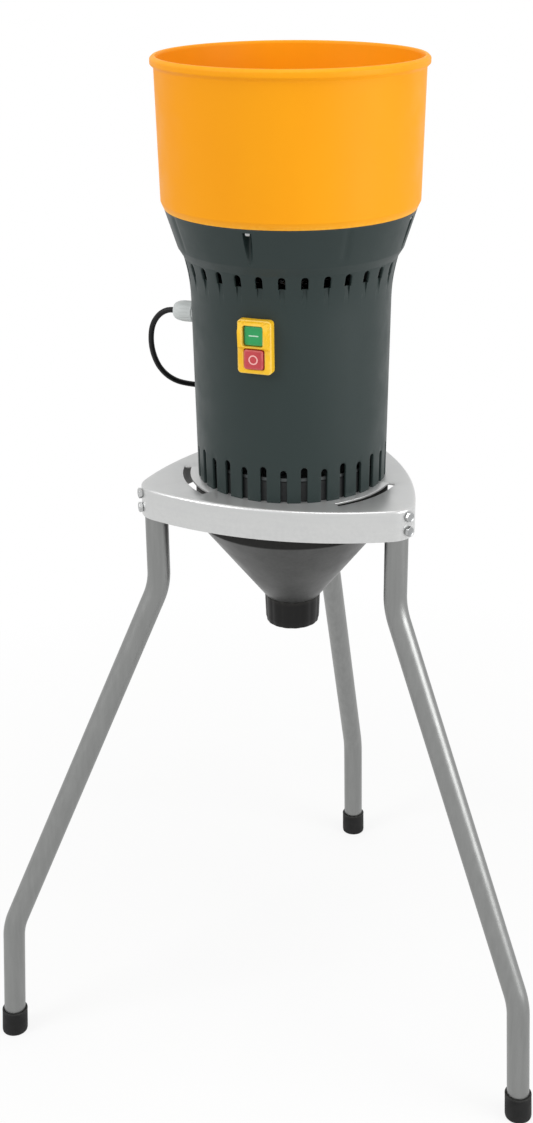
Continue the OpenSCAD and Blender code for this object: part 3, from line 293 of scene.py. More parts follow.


# Each row: the kind of look, then what that function takes after the name.
# In plastic and paint rows the third colour lightens the marked edges: partly rubbed wear, partly painted
# highlight; in paint rows it also tints the flakes.
RECIPES = {
    "hopper_yellow": (plastic, "F7A40A", "F49C06", "FFC24A", 0.48, 1500, 0.00003, 0.18, 5),
    "housing_slate": (plastic, "283433", "24302F", "5D6A69", 0.45, 2000, 0.00005, 0.3, 6),
    "funnel_grey": (plastic, "272827", "212221", "5A5A59", 0.34, 1700, 0.00003, 0.4, 7),
    "collar_black": (plastic, "0D0C0B", "090908", "3A3835", 0.45, 1500, 0.00004, 0.25, 9),
    "black_plastic": (plastic, "252627", "1D1E1F", "55585A", 0.5, 1800, 0.00005, 0.3, 9),
    "dark_chute": (plastic, "2B2D2E", "232526", "4A4D4E", 0.55, 1800, 0.00005, 0.3, 9),
    "switch_yellow": (plastic, "F9C62B", "F3BC1E", "FFEFB0", 0.38, 2400, 0.00002, 0.35, 30),
    "start_green": (plastic, "2CA35E", "27955A", "7CCF9B", 0.35, 2600, 0.00002, 0.4, 40),
    "start_mark": (plastic, "CDEBDA", "C2E2D0", "FFFFFF", 0.4, 2000, 0.00002, 0.3, 40),
    "stop_red": (plastic, "C2444A", "B53B42", "E48E8C", 0.35, 2600, 0.00002, 0.4, 40),
    "stop_mark": (plastic, "F3B9B5", "EBAEAA", "FFFFFF", 0.4, 2000, 0.00002, 0.3, 40),
    "gland_grey": (plastic, "CFD3D2", "C4C9C8", "F0F2F1", 0.48, 1900, 0.00003, 0.4, 30),
    "stand_paint": (paint, "C7C8C7", "C2C3C3", "DADAD9", 0.3, 0.6, (1, 1, 9), 0.1),
    "leg_paint": (paint, "8C8D8C", "818281", "B4B5B4", 0.37, 1.0, (7, 7, 0.5), 0.15),
    "black_rubber": (rubber, "181818", "121212", 0.68, 700, 0.00008),
    "cord_black": (rubber, "141415", "0F0F10", 0.5, 1500, 0.00003),
    "zinc": (bare_metal, "B6B7B7", "989A9B", 0.24, (1, 1, 1), 900, 0.00002, 1.0),
    "steel": (bare_metal, "C2C5C8", "A4A8AB", 0.28, (1, 1, 8), 600, 0.00002, 1.0),
    "capacitor_can": (bare_metal, "CBCED0", "B8BBBD", 0.3, (1, 1, 0.1), 900, 0.00002, 1.0),
    "cast_alloy": (bare_metal, "B2B4B5", "9A9D9E", 0.55, (1, 1, 1), 240, 0.0002, 1.0),
    "plate_cast": (bare_metal, "5C6061", "4D5152", 0.5, (1, 1, 1), 240, 0.0002, 0.8),
    "ring_cast": (bare_metal, "1E2122", "181B1C", 0.6, (1, 1, 1), 240, 0.0002, 0.1),
    "laminations": (laminated, "5B5F63", "46494C"),
    "copper_wire": (wound, "B5642F", "5E2A12"),
}
LOOKS = {name: maker(name, *values) for name, (maker, *values) in RECIPES.items()}

# ---------- mesh helpers ----------


def round_angles(n):
    return [2 * pi * k / n for k in range(n)]


def circle(r, n, x=0, y=0):
    """Outline of a circle, as pairs."""
    return [(x + r * cos(a), y + r * sin(a)) for a in round_angles(n)]


def upright(x, y, z):
    return x, y, z


def raised(outline, height, place):
    """An outline's points in space; height is a number or a function of the outline's pair."""
    return [place(x, y, height(x, y) if callable(height) else height) for x, y in outline]


class Shell:
    """Points and faces in millimetres, in rings that are joined into one mesh."""

    def __init__(self):
        self.points = []
        self.faces = []
        self.kinds = []
        self.marks = []

    def ring(self, points, edge=0.0):
        start = len(self.points)
        self.points.extend(points)
        self.marks.extend([edge] * len(points))
        return list(range(start, start + len(points)))

    def face(self, indices, kind=0):
        self.faces.append(tuple(indices))
        self.kinds.append(kind)

    def strip(self, a, b, closed=True, kind=0):
        for i in range(len(a) if closed else len(a) - 1):
            j = (i + 1) % len(a)
            self.face((a[i], a[j], b[j], b[i]), kind)

    def close(self, rings, kind=0):
        self.face(rings[0], kind)
        self.face(rings[-1], kind)

    def strips(self, rings, closed=True, loop=False, kind=0):
        for a, b in zip(rings, rings[1:] + (rings[:1] if loop else [])):
            self.strip(a, b, closed, kind)

    def stack(self, rows, place=upright, ends=False, kind=0):
        """Joined rings from rows of (outline, height, edge mark), with a face on both ends if asked."""
        rings = [self.ring(raised(outline, height, place), mark) for outline, height, mark in rows]
        self.strips(rings, kind=kind)
        if ends:
            self.close(rings, kind)
        return rings

    def lathe(self, profile, n=96, loop=True, place=Matrix(), kind=0, wave=lambda angle, z: 1):
        """Profile points are (radius, height) or (radius, height, edge mark), about local Z."""
        rings = []
        for r, z, *mark in profile:
            rings.append(self.ring([place @ polar(r * wave(a, z), a, z) for a in round_angles(n)], *mark))
        self.strips(rings, True, loop, kind)
        return rings

    def sheet(self, outline, holes, height, extra=(), place=upright):
        """A face with holes, as triangles that also use the extra pairs."""
        loops = [[Vector(p) for p in loop] for loop in (outline, *holes)]
        points, edges = [], []
        for loop in loops:
            start = len(points)
            points += loop
            edges += [(start + i, start + (i + 1) % len(loop)) for i in range(len(loop))]
        points += [Vector(p) for p in extra]
        flat, _, faces, *_ = delaunay_2d_cdt(points, edges, [], 0, 1e-4)
        ring = self.ring(raised(flat, height, place))
        for face in faces:
            middle = sum((flat[i] for i in face), Vector((0, 0))) / len(face)
            if inside(middle, loops[0]) and not any(inside(middle, loop) for loop in loops[1:]):
                self.face([ring[i] for i in face])

    def tube(self, path, radius, sides, ends=True):
        """Tube along a path of points, its rings carried along without twist."""
        path = [Vector(p) for p in path]
        side = (path[1] - path[0]).normalized().orthogonal().normalized()
        rings = []
        for last, here, following in zip(path[:1] + path, path, path[1:] + path[-1:]):
            along = (following - last).normalized()
            side = (side - along * side.dot(along)).normalized()
            other = along.cross(side)
            ring = [here + (side * cos(a) + other * sin(a)) * radius for a in round_angles(sides)]
            rings.append(self.ring(ring))
        self.strips(rings)
        if ends:
            self.close(rings)
        return rings

    def make(self, name, slot, replaces, body="mill", place=MILL, sharp=38, more_looks=(), outward=True):
        mesh = bpy.data.meshes.new(name)
        world = Matrix.Scale(MM, 4) @ place
        mesh.from_pydata([world @ Vector(p) for p in self.points], [], self.faces)
        # The edge mark lightens the colour in the shader: partly rubbed wear, partly painted highlight.
        mark = mesh.attributes.new("edge", "FLOAT", "POINT")
        mark.data.foreach_set("value", self.marks)
        mesh.polygons.foreach_set("material_index", self.kinds)
        data = bmesh.new()
        data.from_mesh(mesh)
        bmesh.ops.remove_doubles(data, verts=data.verts, dist=0.002 * MM)
        loose = [v for v in data.verts if not v.link_faces]
        bmesh.ops.delete(data, geom=loose, context="VERTS")
        if outward:
            bmesh.ops.recalc_face_normals(data, faces=data.faces)
        data.to_mesh(mesh)
        data.free()
        mesh.shade_smooth()
        mesh.set_sharp_from_angle(angle=radians(sharp))
        for look in (slot, *more_looks):
            mesh.materials.append(LOOKS[look])
        piece = add_object(name, mesh)
        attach(piece, body)
        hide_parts(*replaces)
        return piece


def inside(p, loop):
    hit = False
    for a, b in zip(loop[-1:] + loop, loop):
        if (a.y > p.y) != (b.y > p.y) and p.x < (b.x - a.x) * (p.y - a.y) / (b.y - a.y) + a.x:
            hit = not hit
    return hit


def rounded(corners, steps=4, closed=True):
    """Corners are (x, y, radius, edge mark of its arc), the last two optional; each becomes an arc."""
    out = []
    n = len(corners)
    for i, corner in enumerate(corners):
        x, y, radius, mark = (*corner, 0, 0)[:4]
        here = Vector((x, y))
        back = Vector(corners[i - 1][:2]) - here
        ahead = Vector(corners[(i + 1) % n][:2]) - here
        half = back.angle(ahead) / 2
        at_end = not closed and i in (0, n - 1)
        if radius <= 0 or at_end or pi - 2 * half < 0.02:
            out.append((here.x, here.y, mark))
            continue
        reach = min(radius / tan(half), 0.49 * back.length, 0.49 * ahead.length)
        back.normalize()
        ahead.normalize()
        centre = here + (back + ahead).normalized() * reach * tan(half) / sin(half)
        a, b = here + back * reach - centre, here + ahead * reach - centre
        for k in range(steps + 1):
            t = -a.angle_signed(b) * k / steps
            p = centre + Vector((a.x * cos(t) - a.y * sin(t), a.x * sin(t) + a.y * cos(t)))
            out.append((p.x, p.y, mark))
    return out


def rounded_box(w, h, radius, steps=5):
    """Closed outline of a rounded rectangle about the middle, starting at its lower left."""
    corners = [(x * w / 2, y * h / 2, radius) for x, y in ((-1, -1), (1, -1), (1, 1), (-1, 1))]
    return [(x, y) for x, y, _ in rounded(corners, steps)]


def grown(outline, distance):
    """Closed outline moved outwards by a distance; counter-clockwise outlines grow."""
    out = []
    for last, here, following in zip(outline[-1:] + outline, outline, outline[1:] + outline[:1]):
        t = (Vector(following) - Vector(last)).normalized()
        out.append((here[0] + t.y * distance, here[1] - t.x * distance))
    return out


def spliced(profile, extra, starts):
    """The profile with extra points before its first point whose height passes a test."""
    cut = next(i for i, p in enumerate(profile) if starts(p[1]))
    return profile[:cut] + extra + profile[cut:]


def thread(crest_r, root_r, start, pitch, count):
    """Profile points of a thread drawn as plain rings."""
    return [(root_r if k % 2 else crest_r, start + pitch * k / 2) for k in range(2 * count)]


def smooth_path(points, step):
    """Catmull-Rom curve through the points, sampled about every step."""
    points = [Vector(p) for p in points]
    out = []
    for i in range(len(points) - 1):
        p1, p2 = points[i], points[i + 1]
        p0 = points[i - 1] if i else p1 * 2 - p2
        p3 = points[i + 2] if i + 2 < len(points) else p2 * 2 - p1
        n = max(1, round((p2 - p1).length / step))
        for k in range(n):
            t = k / n
            out.append(0.5 * (2 * p1 + (p2 - p0) * t + (2 * p0 - 5 * p1 + 4 * p2 - p3) * t * t
                              + (3 * p1 - p0 - 3 * p2 + p3) * t * t * t))
    out.append(points[-1])
    return out


def ramp(value, start, end):
    """Smooth rise from 0 at start to 1 at end."""
    t = min(1.0, max(0.0, (value - start) / (end - start)))
    return t * t * (3 - 2 * t)


CORNER_SLOPE = tan(radians(30))


def hex_head(shell, af, z0, z1, place, bore=0.0, both=False, dish=0.0):
    """Hexagon with its corners cut back by a cone on the outer face, and on both if it is a nut."""
    angles = round_angles(72)
    half = af / 2
    rim = half * 0.94

    def level(r, z):
        return shell.ring([place @ polar(r, a, z) for a in angles])

    def edge(z, sign, inset, mark):
        radii = [half / cos(a % (pi / 3) - pi / 6) - inset for a in angles]
        return shell.ring([place @ polar(r, a, z - sign * max(0.0, r - rim) * CORNER_SLOPE)
                           for r, a in zip(radii, angles)], mark)

    if both:
        rings = [level(rim, z0), edge(z0, -1, 0.12, 1.0), edge(z0 + 0.12, -1, 0, 0.6)]
    else:
        rings = [level(half * 0.9, z0), level(half * 0.95, z0), level(half * 0.95, z0 + 0.35),
                 edge(z0 + 0.36, -1, 0, 0.4)]
    rings += [edge(z1 - 0.12, 1, 0, 0.6), edge(z1, 1, 0.12, 1.0), level(rim, z1)]
    if bore:
        rings += [level(bore + 0.5, z1), level(bore, z1 - 0.5), level(bore, z0 + 0.5), level(bore + 0.5, z0)]
        shell.strips(rings, True, True)
    else:
        rings.append(level(rim - 0.5, z1 - dish))
        shell.strips(rings)
        shell.close(rings)


# ---------- mains cord, coil and plug ----------

# The route's points and heights count from the mill's axis and from the top of the stand plate.
CORD_ROUTE = [
    (-134, 11.7, 168), (-141, 12.3, 167.2), (-148.5, 12.8, 163.5), (-155, 14, 157), (-160, 16, 148.5),
    (-163.3, 19, 137), (-165, 24, 123), (-164.5, 31, 108), (-161.5, 39, 94), (-155.5, 47.5, 82.5),
    (-147, 56.5, 74), (-136, 66.5, 68.5), (-124, 77, 64.5), (-110, 87.5, 60), (-95, 97, 54.5),
    (-78, 105, 47), (-60, 110.5, 38), (-40, 113.5, 29), (-20, 114.6, 21), (-8, 114.9, 17.2), (0, 114.9, 15.5),
]
PLUG_ROUTE = [
    (8, 121.2, 15.5), (20, 122.6, 17), (30, 127.5, 20), (36.5, 137, 24), (38, 148, 28.5),
    (35.5, 159, 33), (28.5, 168, 36), (20, 172.3, 37), (13, 173, 37.1), (7, 173, 37.1),
]
OUTER_TURN_R = COIL_IN_R + 1.5 * CORD_D
INNER_TURN_R = COIL_IN_R + 0.5 * CORD_D
LAYER_Z = [CORD_D * n for n in (2.5, 1.5, 0.5)]
COIL_STEPS = 36
GLAND_TIP = 133.4
PIN_AT = 9.5


def coil_route():
    """Three turns down the outer column and three up the inner one, seen from above turning left."""
    heights = LAYER_Z + LAYER_Z[::-1] + LAYER_Z[:1]
    out = []
    for k in range(1, 6 * COIL_STEPS):
        turn, part = divmod(k, COIL_STEPS)
        angle = 360 * part / COIL_STEPS
        step = ramp(angle, 310, 360) if turn < 3 else ramp(angle, 230, 290)
        z = heights[turn] + (heights[turn + 1] - heights[turn]) * step
        r = OUTER_TURN_R + (INNER_TURN_R - OUTER_TURN_R) * ramp(360 * turn + angle, 1020, 1080)
        out.append(Vector((*COIL_AT, 0)) + polar(r, radians(angle - 90), z))
    return out


def cord_points():
    """Centre line from inside the gland, along the route and round the coil, to the plug."""
    turn = turned(HOUSING_TURN)
    lead_in = [turn @ Vector((depth - GLAND_TIP, 0, SWITCH_Z - STAND_H)) for depth in (14, 9, 4)]
    head = smooth_path(lead_in + CORD_ROUTE, 3.5)
    coil = coil_route()
    tail = smooth_path(coil[-1:] + PLUG_ROUTE, 3)
    return [p + Vector((0, 0, STAND_H)) for p in head + coil + tail[1:]]


def make_cord():
    shell = Shell()
    points = cord_points()
    shell.tube(points, CORD_D / 2, 16)
    piece = shell.make("mains_cord_lead", "cord_black", ("mains_cord", "cord_coil"))
    path = [MILL @ p * MM for p in points]
    length = sum((b - a).length for a, b in zip(path, path[1:]))
    return piece, path, length


def add_side_contact(shell, side):
    """Metal earth clip in the plug's side."""
    turn = turned(90 + 90 * side)

    def on_grip(x, z, r):
        return turn @ Vector((x, -sqrt(r * r - x * x), z))

    outline = [(x, z + 42) for x, z in rounded_box(7, 24, 1.0, 4)]
    narrow = [(x * (1 - 0.2 / 3.5), z) for x, z in outline]
    shell.stack([(outline, 18.0, 0), (outline, 18.45, 0), (narrow, 18.6, 0)], on_grip, True, 1)


def make_plug():
    """Two-pin earthed plug: relief sleeve with rings, ribbed grip, face with side contacts, two pins."""
    shell = Shell()
    r = CORD_D / 2
    relief = [(r + 0.05, 0), (r + 1.3, 0, 0.6), (r + 1.5, 0.5)]
    for k in range(5):
        z = 1.6 + 2.7 * k
        neck_r = r + 0.9 + 0.28 * k
        relief += [(neck_r + 0.6, z), (neck_r, z + 0.4), (neck_r, z + 1.1), (neck_r + 0.7, z + 1.5, 0.5)]
    shell.lathe(relief + [(r + 3, 16), (r + 3.4, 17.5), (r + 0.05, 17.5)], 40)

    def ribs(a, z):
        return 1 - 0.02 * (0.5 + 0.5 * cos(20 * a)) * max(0, min(1, (z - 25) / 4, (50 - z) / 3))

    body = rounded([(0.001, 16), (10, 16, 2), (14, 19.5, 4), (18.5, 25, 3), (18.5, 50, 1.2, 0.6),
                    (17.3, 51, 0.6), (17.3, 56, 1.2, 0.8), (3, 56)], 5, False)
    shell.lathe(body + [(0.001, 56)], 120, False, wave=ribs)
    pin = rounded([(0.001, 55), (2.4, 55), (2.4, 73.4, 1.4, 0.5), (1.2, 75, 0.8), (0.001, 75)], 5, False)
    sleeve = rounded([(2.42, 56), (2.9, 56), (2.9, 65.4, 0.2), (2.42, 65.6)], 2)
    for side in (-1, 1):
        place = Matrix.Translation((0, side * PIN_AT, 0))
        shell.lathe(pin, 32, False, place, 1)
        shell.lathe(sleeve, 32, True, place)
        add_side_contact(shell, side)
    x, y, z = PLUG_ROUTE[-1]
    place = MILL @ Matrix.Translation((x, y, z + STAND_H)) @ turned(-90, "Y")
    return shell.make("mains_plug_body", "cord_black", ("mains_plug",), place=place, more_looks=("zinc",))


def make_tie():
    """Band over the coil's turns, with rounded edges and a groove along its middle."""
    shell = Shell()
    half_w, height, thick, half_band = CORD_D + 0.2, 3 * CORD_D + 0.2, 1.0, 2.5

    def bridge(half, top, radius):
        corners = [(-half, 0), (-half, top, radius), (half, top, radius), (half, 0)]
        return [(x, z) for x, z, _ in rounded(corners, 6, False)]

    edge = ((half_band, -0.15), (half_band - 0.4, 0.0), (0.9, 0.0), (0.6, -0.2))
    stations = [(-y, grow) for y, grow in edge] + list(edge[::-1])
    outer = bridge(half_w + thick, height + thick, 2.4)
    inner = bridge(half_w, height, 1.6)
    rings = []
    for y, grow in stations:
        rings.append(shell.ring([(x * (1 + grow / 8), y, max(0, z + grow * (z > 1))) for x, z in outer]))
    rings += [shell.ring([(x, y, z) for x, z in inner]) for y in (half_band, -half_band)]
    shell.strips(rings, False, True)
    for end in (0, -1):
        shell.face([ring[end] for ring in rings])
    place = MILL @ Matrix.Translation((COIL_AT[0] + COIL_IN_R + CORD_D, COIL_AT[1], STAND_H))
    return shell.make("cord_tie_band", "black_plastic", ("cord_tie",), place=place)


cord, cord_path, cord_length = make_cord()
plug = make_plug()
tie = make_tie()

# ---------- hopper, gate and knob ----------

FEED_X = 74
LAND_Z = 915
LAND_TOP_Z = 917.5
BOWL_Z = 970.5
LEDGE_R = 112
SCREW_R = 124
GATE_TOP_Z = 919.8


def fillet(a, corner, b, steps):
    """Points of a quadratic curve from a to b, pulled towards the corner."""
    shares = [k / steps for k in range(steps + 1)]
    return [a * (1 - t) ** 2 + corner * 2 * t * (1 - t) + b * t * t for t in shares]


def bowl_and_land(radius, top_z, half_y, x_low, x_high, land_z):
    """Matching points of a circle and of a rounded rectangle, with the way out, as columns of a floor."""
    columns = []
    corner_r = 6
    middle = (x_low + x_high) / 2
    half_x = (x_high - x_low) / 2
    for quadrant, (sign_x, sign_y) in enumerate(((1, 1), (-1, 1), (-1, -1), (1, -1))):
        centre = Vector((middle + sign_x * (half_x - corner_r), sign_y * (half_y - corner_r), land_z))
        for k in range(25):
            out = polar(1, radians(90 * quadrant + 3.75 * k))
            columns.append((out * radius + Vector((0, 0, top_z)), centre + out * corner_r, out))
    return columns


def floor_columns():
    """Inside and outside of the hopper's floor, each as columns from the wall down to the land."""
    inner, outer = [], []
    for high, low, out in bowl_and_land(LEDGE_R, BOWL_Z, 25.5, 8.5, 98.5, LAND_TOP_Z):
        fall = low - high
        top = fillet(high + out * 4, high, high + fall * 0.07, 4)
        foot = fillet(low - fall * 0.07, low, low - out * 3, 4)
        inner.append(top + [high + fall * t for t in (0.25, 0.45, 0.65, 0.82)] + foot)
    for high, low, _ in bowl_and_land(LEDGE_R + 2, HOUSING_TOP, 28, 6, 101, LAND_Z):
        outer.append([high + (low - high) * t for t in (0, 0.33, 0.66, 1)])
    return inner, outer


def screw_place(k):
    return turned(90 * k) @ Matrix.Translation((0, -SCREW_R, 0))


def add_rail(shell, side):
    """Guide rail of the feed gate, moulded on the hopper's floor."""
    corners = [(21.3, 917.2), (24.3, 917.2), (24.3, 922.5, 0.7, 0.6), (19.3, 922.5, 0.5, 0.6),
               (19.3, 920.6, 0.3), (21.3, 920.6, 0.4)]
    rail = [(y, z) for y, z, _ in rounded(corners, 3)]
    small = [(21.8 + (y - 21.8) * 0.9, 919.8 + (z - 919.8) * 0.9) for y, z in rail]

    def along(y, z, x):
        return x, side * y, z

    shell.stack([(small, 7, 0), (rail, 7.5, 0), (rail, 99.5, 0), (small, 100, 0)], along, True)


def make_hopper():
    shell = Shell()
    inner, outer = floor_columns()
    inner_rings = [shell.ring(row) for row in zip(*inner)]
    outer_rings = [shell.ring(row) for row in zip(*outer)]
    shell.strips(inner_rings)
    shell.strips(outer_rings)
    ways_out = [Vector((p.x, p.y, 0)).normalized() for p in (column[0] for column in inner)]
    # The edge mark of 1.0 on the bottom edge paints a thin highlight line there.
    wall = rounded([(116, HOUSING_TOP), (HOUSING_TOP_R, HOUSING_TOP, 0.5, 1.0), (133.2, 975, 3),
                    (135.8, 1105.8, 3), (139.4, 1109.2, 1.6), (139.4, 1114.4, 2.4, 0.2),
                    (136.6, RIM_Z, 1.6, 0.3), (133.9, RIM_Z, 1.1, 0.6), (133.2, 1114, 2),
                    (130.7, 975, 4), (127.5, BOWL_Z, 4), (118, BOWL_Z)], 5, False)
    rings = [shell.ring([out * r + Vector((0, 0, z)) for out in ways_out], mark) for r, z, mark in wall]
    shell.strips(rings)
    shell.strip(rings[-1], inner_rings[0])
    shell.strip(rings[0], outer_rings[0])

    def land(ring):
        loop = [Vector(shell.points[i]).xy for i in ring]
        return [tuple(p) for last, p in zip(loop[-1:] + loop, loop) if (p - last).length > 0.01]

    hole, bore, spout, mouth, lip = [circle(r, 72, FEED_X) for r in (18.6, 18, 20, 18.4, 19.6)]
    shell.sheet(land(inner_rings[-1]), [hole], LAND_TOP_Z)
    shell.sheet(land(outer_rings[-1]), [spout], LAND_Z)
    shell.stack([(hole, LAND_TOP_Z, 0.6), (bore, 916.9, 0), (bore, 905.4, 0), (mouth, 905, 0), (lip, 905, 0),
                 (spout, 905.4, 0), (spout, LAND_Z, 0)])
    for side in (-1, 1):
        add_rail(shell, side)
    boss = rounded([(6.3, 969), (6.3, BOWL_Z), (4.5, 970.9, 1.4), (4.5, 980.6), (4.2, 981.6, 0.5),
                    (3.5, 982, 0.5), (0.001, 982)], 3, False)
    for k in range(4):
        rings = shell.lathe(boss, 36, False, screw_place(k))
        shell.face(rings[0])
    shell.make("hopper_bowl", "hopper_yellow", ("hopper",), place=HOUSING, sharp=42)


def make_gate():
    shell = Shell()
    outline = [(x + FEED_X, y) for x, y in rounded_box(42, 42, 2.5, 5)]
    inset = grown(outline, -0.3)
    shell.stack([(inset, 917.8, 0.5), (outline, 918.1, 1), (outline, 919.5, 1), (inset, GATE_TOP_Z, 0.5)],
                ends=True)
    shell.make("feed_gate_plate", "zinc", ("feed_gate",), "feed_gate", HOUSING)


def make_knob():
    shell = Shell()

    def grip(a, z):
        return 1 - 0.06 * (0.5 + 0.5 * cos(12 * a)) ** 2 if 937.5 < z < 945 else 1

    profile = rounded([(0.001, GATE_TOP_Z), (3.5, GATE_TOP_Z), (3.5, 935.8, 0.8), (7, 935.8, 1),
                       (7, 944.8, 0.8, 0.5), (5, 946.8, 1.5), (0.001, 946.4)], 5, False)
    side = [(7, 936.9 + 0.79 * k, 0.2) for k in range(10)]
    shell.lathe(spliced(profile, side, lambda z: z > 940), 120, False,
                Matrix.Translation((FEED_X - 13, 0, 0)), wave=grip)
    shell.make("feed_gate_knob", "black_plastic", ("gate_knob",), "feed_gate", HOUSING)


def make_hopper_screws():
    shell = Shell()
    head = rounded([(0.001, 961.9), (1.4, 961.9), (1.9, 960.8), (3.1, 960.8, 1.4, 0.5), (4, 962.4, 1.2, 0.5),
                    (4, 964, 0.3), (2, 964)], 5, False)
    profile = head + thread(2.0, 1.65, 964.2, 0.9, 18) + [(1.2, 981), (0.001, 981.4)]
    for k in range(4):
        shell.lathe(profile, 40, False, screw_place(k))
    shell.make("hopper_screw_set", "zinc", ("hopper_screws",), place=HOUSING)


make_hopper()
make_gate()
make_knob()
make_hopper_screws()

# ---------- housing ----------

TUBE_FOOT_R = 102
FLARE_START_Z = 870
FLARE_START_R = 104.7
STEP_Z = 922.5
ARC_R = 178.4
WALL = 3
VENT_HALF = 3.6
VENT_REFERENCE_R = 105.4
RIM = 0.5
GROOVE_FLOOR_R = 106.1
GROOVE_HALF = 2.2
GROOVE_TOP_HALF = 2.546
SECTORS = 30
SECTOR_HALF = VENT_REFERENCE_R * pi / SECTORS
FIRST_VENT_AZ = 2.4
TUBE_MIDDLE_Z = 800
GROOVE_FOOT_Z = 893
UPPER_VENT_Z = 905.5
UPPER_SPRING_Z = 914.4
LOWER_SPRING_Z = (714.4, 711.4)
BESIDE_VENT = 5.6


def housing_radius(z):
    """Outside of the tube: a slight taper, then an arc out to the step under the flare."""
    if z <= FLARE_START_Z:
        share = (z - STAND_H) / (FLARE_START_Z - STAND_H)
        return TUBE_FOOT_R + (FLARE_START_R - TUBE_FOOT_R) * share
    rise = min(z, STEP_Z) - FLARE_START_Z
    return FLARE_START_R + ARC_R - sqrt(ARC_R ** 2 - rise ** 2)


def spot(azimuth, r, z):
    """Point by its azimuth in degrees, counted from the front."""
    return polar(r, radians(azimuth - 90), z)


def rim_drop(distance):
    """How far the surface rolls inwards at a distance outside a hole's edge."""
    if not 0 <= distance < RIM:
        return 0
    return RIM * (1 - sqrt(1 - (1 - distance / RIM) ** 2))


def tube_columns():
    """Columns of the vents' sectors: (sector, distance across from its middle, azimuth)."""
    half = [1.378, GROOVE_HALF, GROOVE_TOP_HALF, 3.326, VENT_HALF, VENT_HALF + 0.15, VENT_HALF + RIM,
            BESIDE_VENT, 7.4, 9.2]
    offsets = [-SECTOR_HALF] + [-u for u in reversed(half)] + [0] + half
    return [(i, u, FIRST_VENT_AZ + 360 / SECTORS * i + degrees(u / VENT_REFERENCE_R))
            for i in range(SECTORS) for u in offsets]


def tube_rows():
    """Rows from the bottom edge up: numbers, or ('low' or 'high', arch radius) for rows round an arch."""
    radii = (VENT_HALF, VENT_HALF + 0.15, VENT_HALF + RIM)
    low = [STAND_H, STAND_H + 0.15, STAND_H + 0.5, 686, 695, 704] + [("low", r) for r in radii]
    middle = [723, 735, 757, 779, 801, 823.5, 839.5, 854.5, 870.5, 881, 888]
    groove = [893.5, 896.5, 899.5, 902.5, UPPER_VENT_Z - 0.5, UPPER_VENT_Z - 0.15, UPPER_VENT_Z, 910]
    return low + middle + groove + [("high", r) for r in radii] + [920.3, 922, 923.2]


def tube_point(row, i, u):
    """Height and radius of the outer skin at one row and column, its drop there and its edge mark."""
    spring = LOWER_SPRING_Z[i % 2]
    blend = max(0, (abs(u) - BESIDE_VENT) / (SECTOR_HALF - BESIDE_VENT))
    spring += (sum(LOWER_SPRING_Z) / 2 - spring) * blend
    z = row
    if isinstance(row, tuple):
        base = spring if row[0] == "low" else UPPER_SPRING_Z
        z = base + sqrt(max(0, row[1] ** 2 - u * u))
    out = max(0, abs(u) - VENT_HALF)
    if z < TUBE_MIDDLE_Z:
        distance = out if z <= spring else hypot(u, z - spring) - VENT_HALF
        rim = rim_drop(distance)
        drop = max(rim, rim_drop(z - STAND_H) * 0.6)
    else:
        if z < UPPER_VENT_Z:
            distance = hypot(out, UPPER_VENT_Z - z)
        else:
            distance = out if z <= UPPER_SPRING_Z else hypot(u, z - UPPER_SPRING_Z) - VENT_HALF
        rim = drop = rim_drop(max(0, distance))
    if GROOVE_FOOT_Z < z <= UPPER_VENT_Z:
        share = min(1, max(0, (GROOVE_TOP_HALF - abs(u)) / (GROOVE_TOP_HALF - GROOVE_HALF)))
        drop = max(drop, (housing_radius(z) - GROOVE_FLOOR_R) * share)
    # The edge mark returned last lightens the vents' rims: painted highlight, partly rubbed wear.
    return z, housing_radius(z), drop, 0.5 * rim / RIM


def in_window(azimuth, z):
    """Openings behind the switch and for the gland."""
    behind_switch = abs(z - SWITCH_Z) < 24 and -7.7 < azimuth < 8.5
    round_gland = abs(z - SWITCH_Z) < 8 and -94.4 < azimuth < -85.5
    return behind_switch or round_gland


def add_tube(shell):
    columns, rows = tube_columns(), tube_rows()
    low_arch = rows.index(("low", VENT_HALF))
    high_foot, high_arch = rows.index(UPPER_VENT_Z), rows.index(("high", VENT_HALF))
    n = len(columns)
    outer, inner = [], []
    for row in rows:
        skin = [(azimuth, *tube_point(row, i, u)) for i, u, azimuth in columns]
        outer.append(shell.ring([spot(azimuth, r - drop, z) for azimuth, z, r, drop, _ in skin]))
        shell.marks[-n:] = [mark for *_, mark in skin]
        inner.append(shell.ring([spot(azimuth, r - WALL, z) for azimuth, z, r, _, _ in skin]))

    def kept(j, c):
        """True where the wall has a face between rows j and j + 1, after column c."""
        if not 0 <= j < len(rows) - 1:
            return False
        c %= n
        _, u, azimuth = columns[c]
        u = (u + (columns[c + 1][1] if u < 9 else SECTOR_HALF)) / 2
        if abs(u) < VENT_HALF and (j < low_arch or high_foot <= j < high_arch):
            return False
        z = (shell.points[outer[j][c]].z + shell.points[outer[j + 1][c]].z) / 2
        return not in_window((azimuth + 180.3) % 360 - 180, z)

    for j in range(len(rows) - 1):
        for c in range(n):
            if not kept(j, c):
                continue
            d = (c + 1) % n
            shell.face((outer[j][c], outer[j][d], outer[j + 1][d], outer[j + 1][c]))
            shell.face((inner[j][d], inner[j][c], inner[j + 1][c], inner[j + 1][d]))
            sides = (((j - 1, c), (j, c), (j, d)), ((j + 1, c), (j + 1, d), (j + 1, c)),
                     ((j, c - 1), (j + 1, c), (j, c)), ((j, c + 1), (j, d), (j + 1, d)))
            for beside, (a, at_a), (b, at_b) in sides:
                if not kept(*beside):
                    shell.face((inner[a][at_a], inner[b][at_b], outer[b][at_b], outer[a][at_a]))


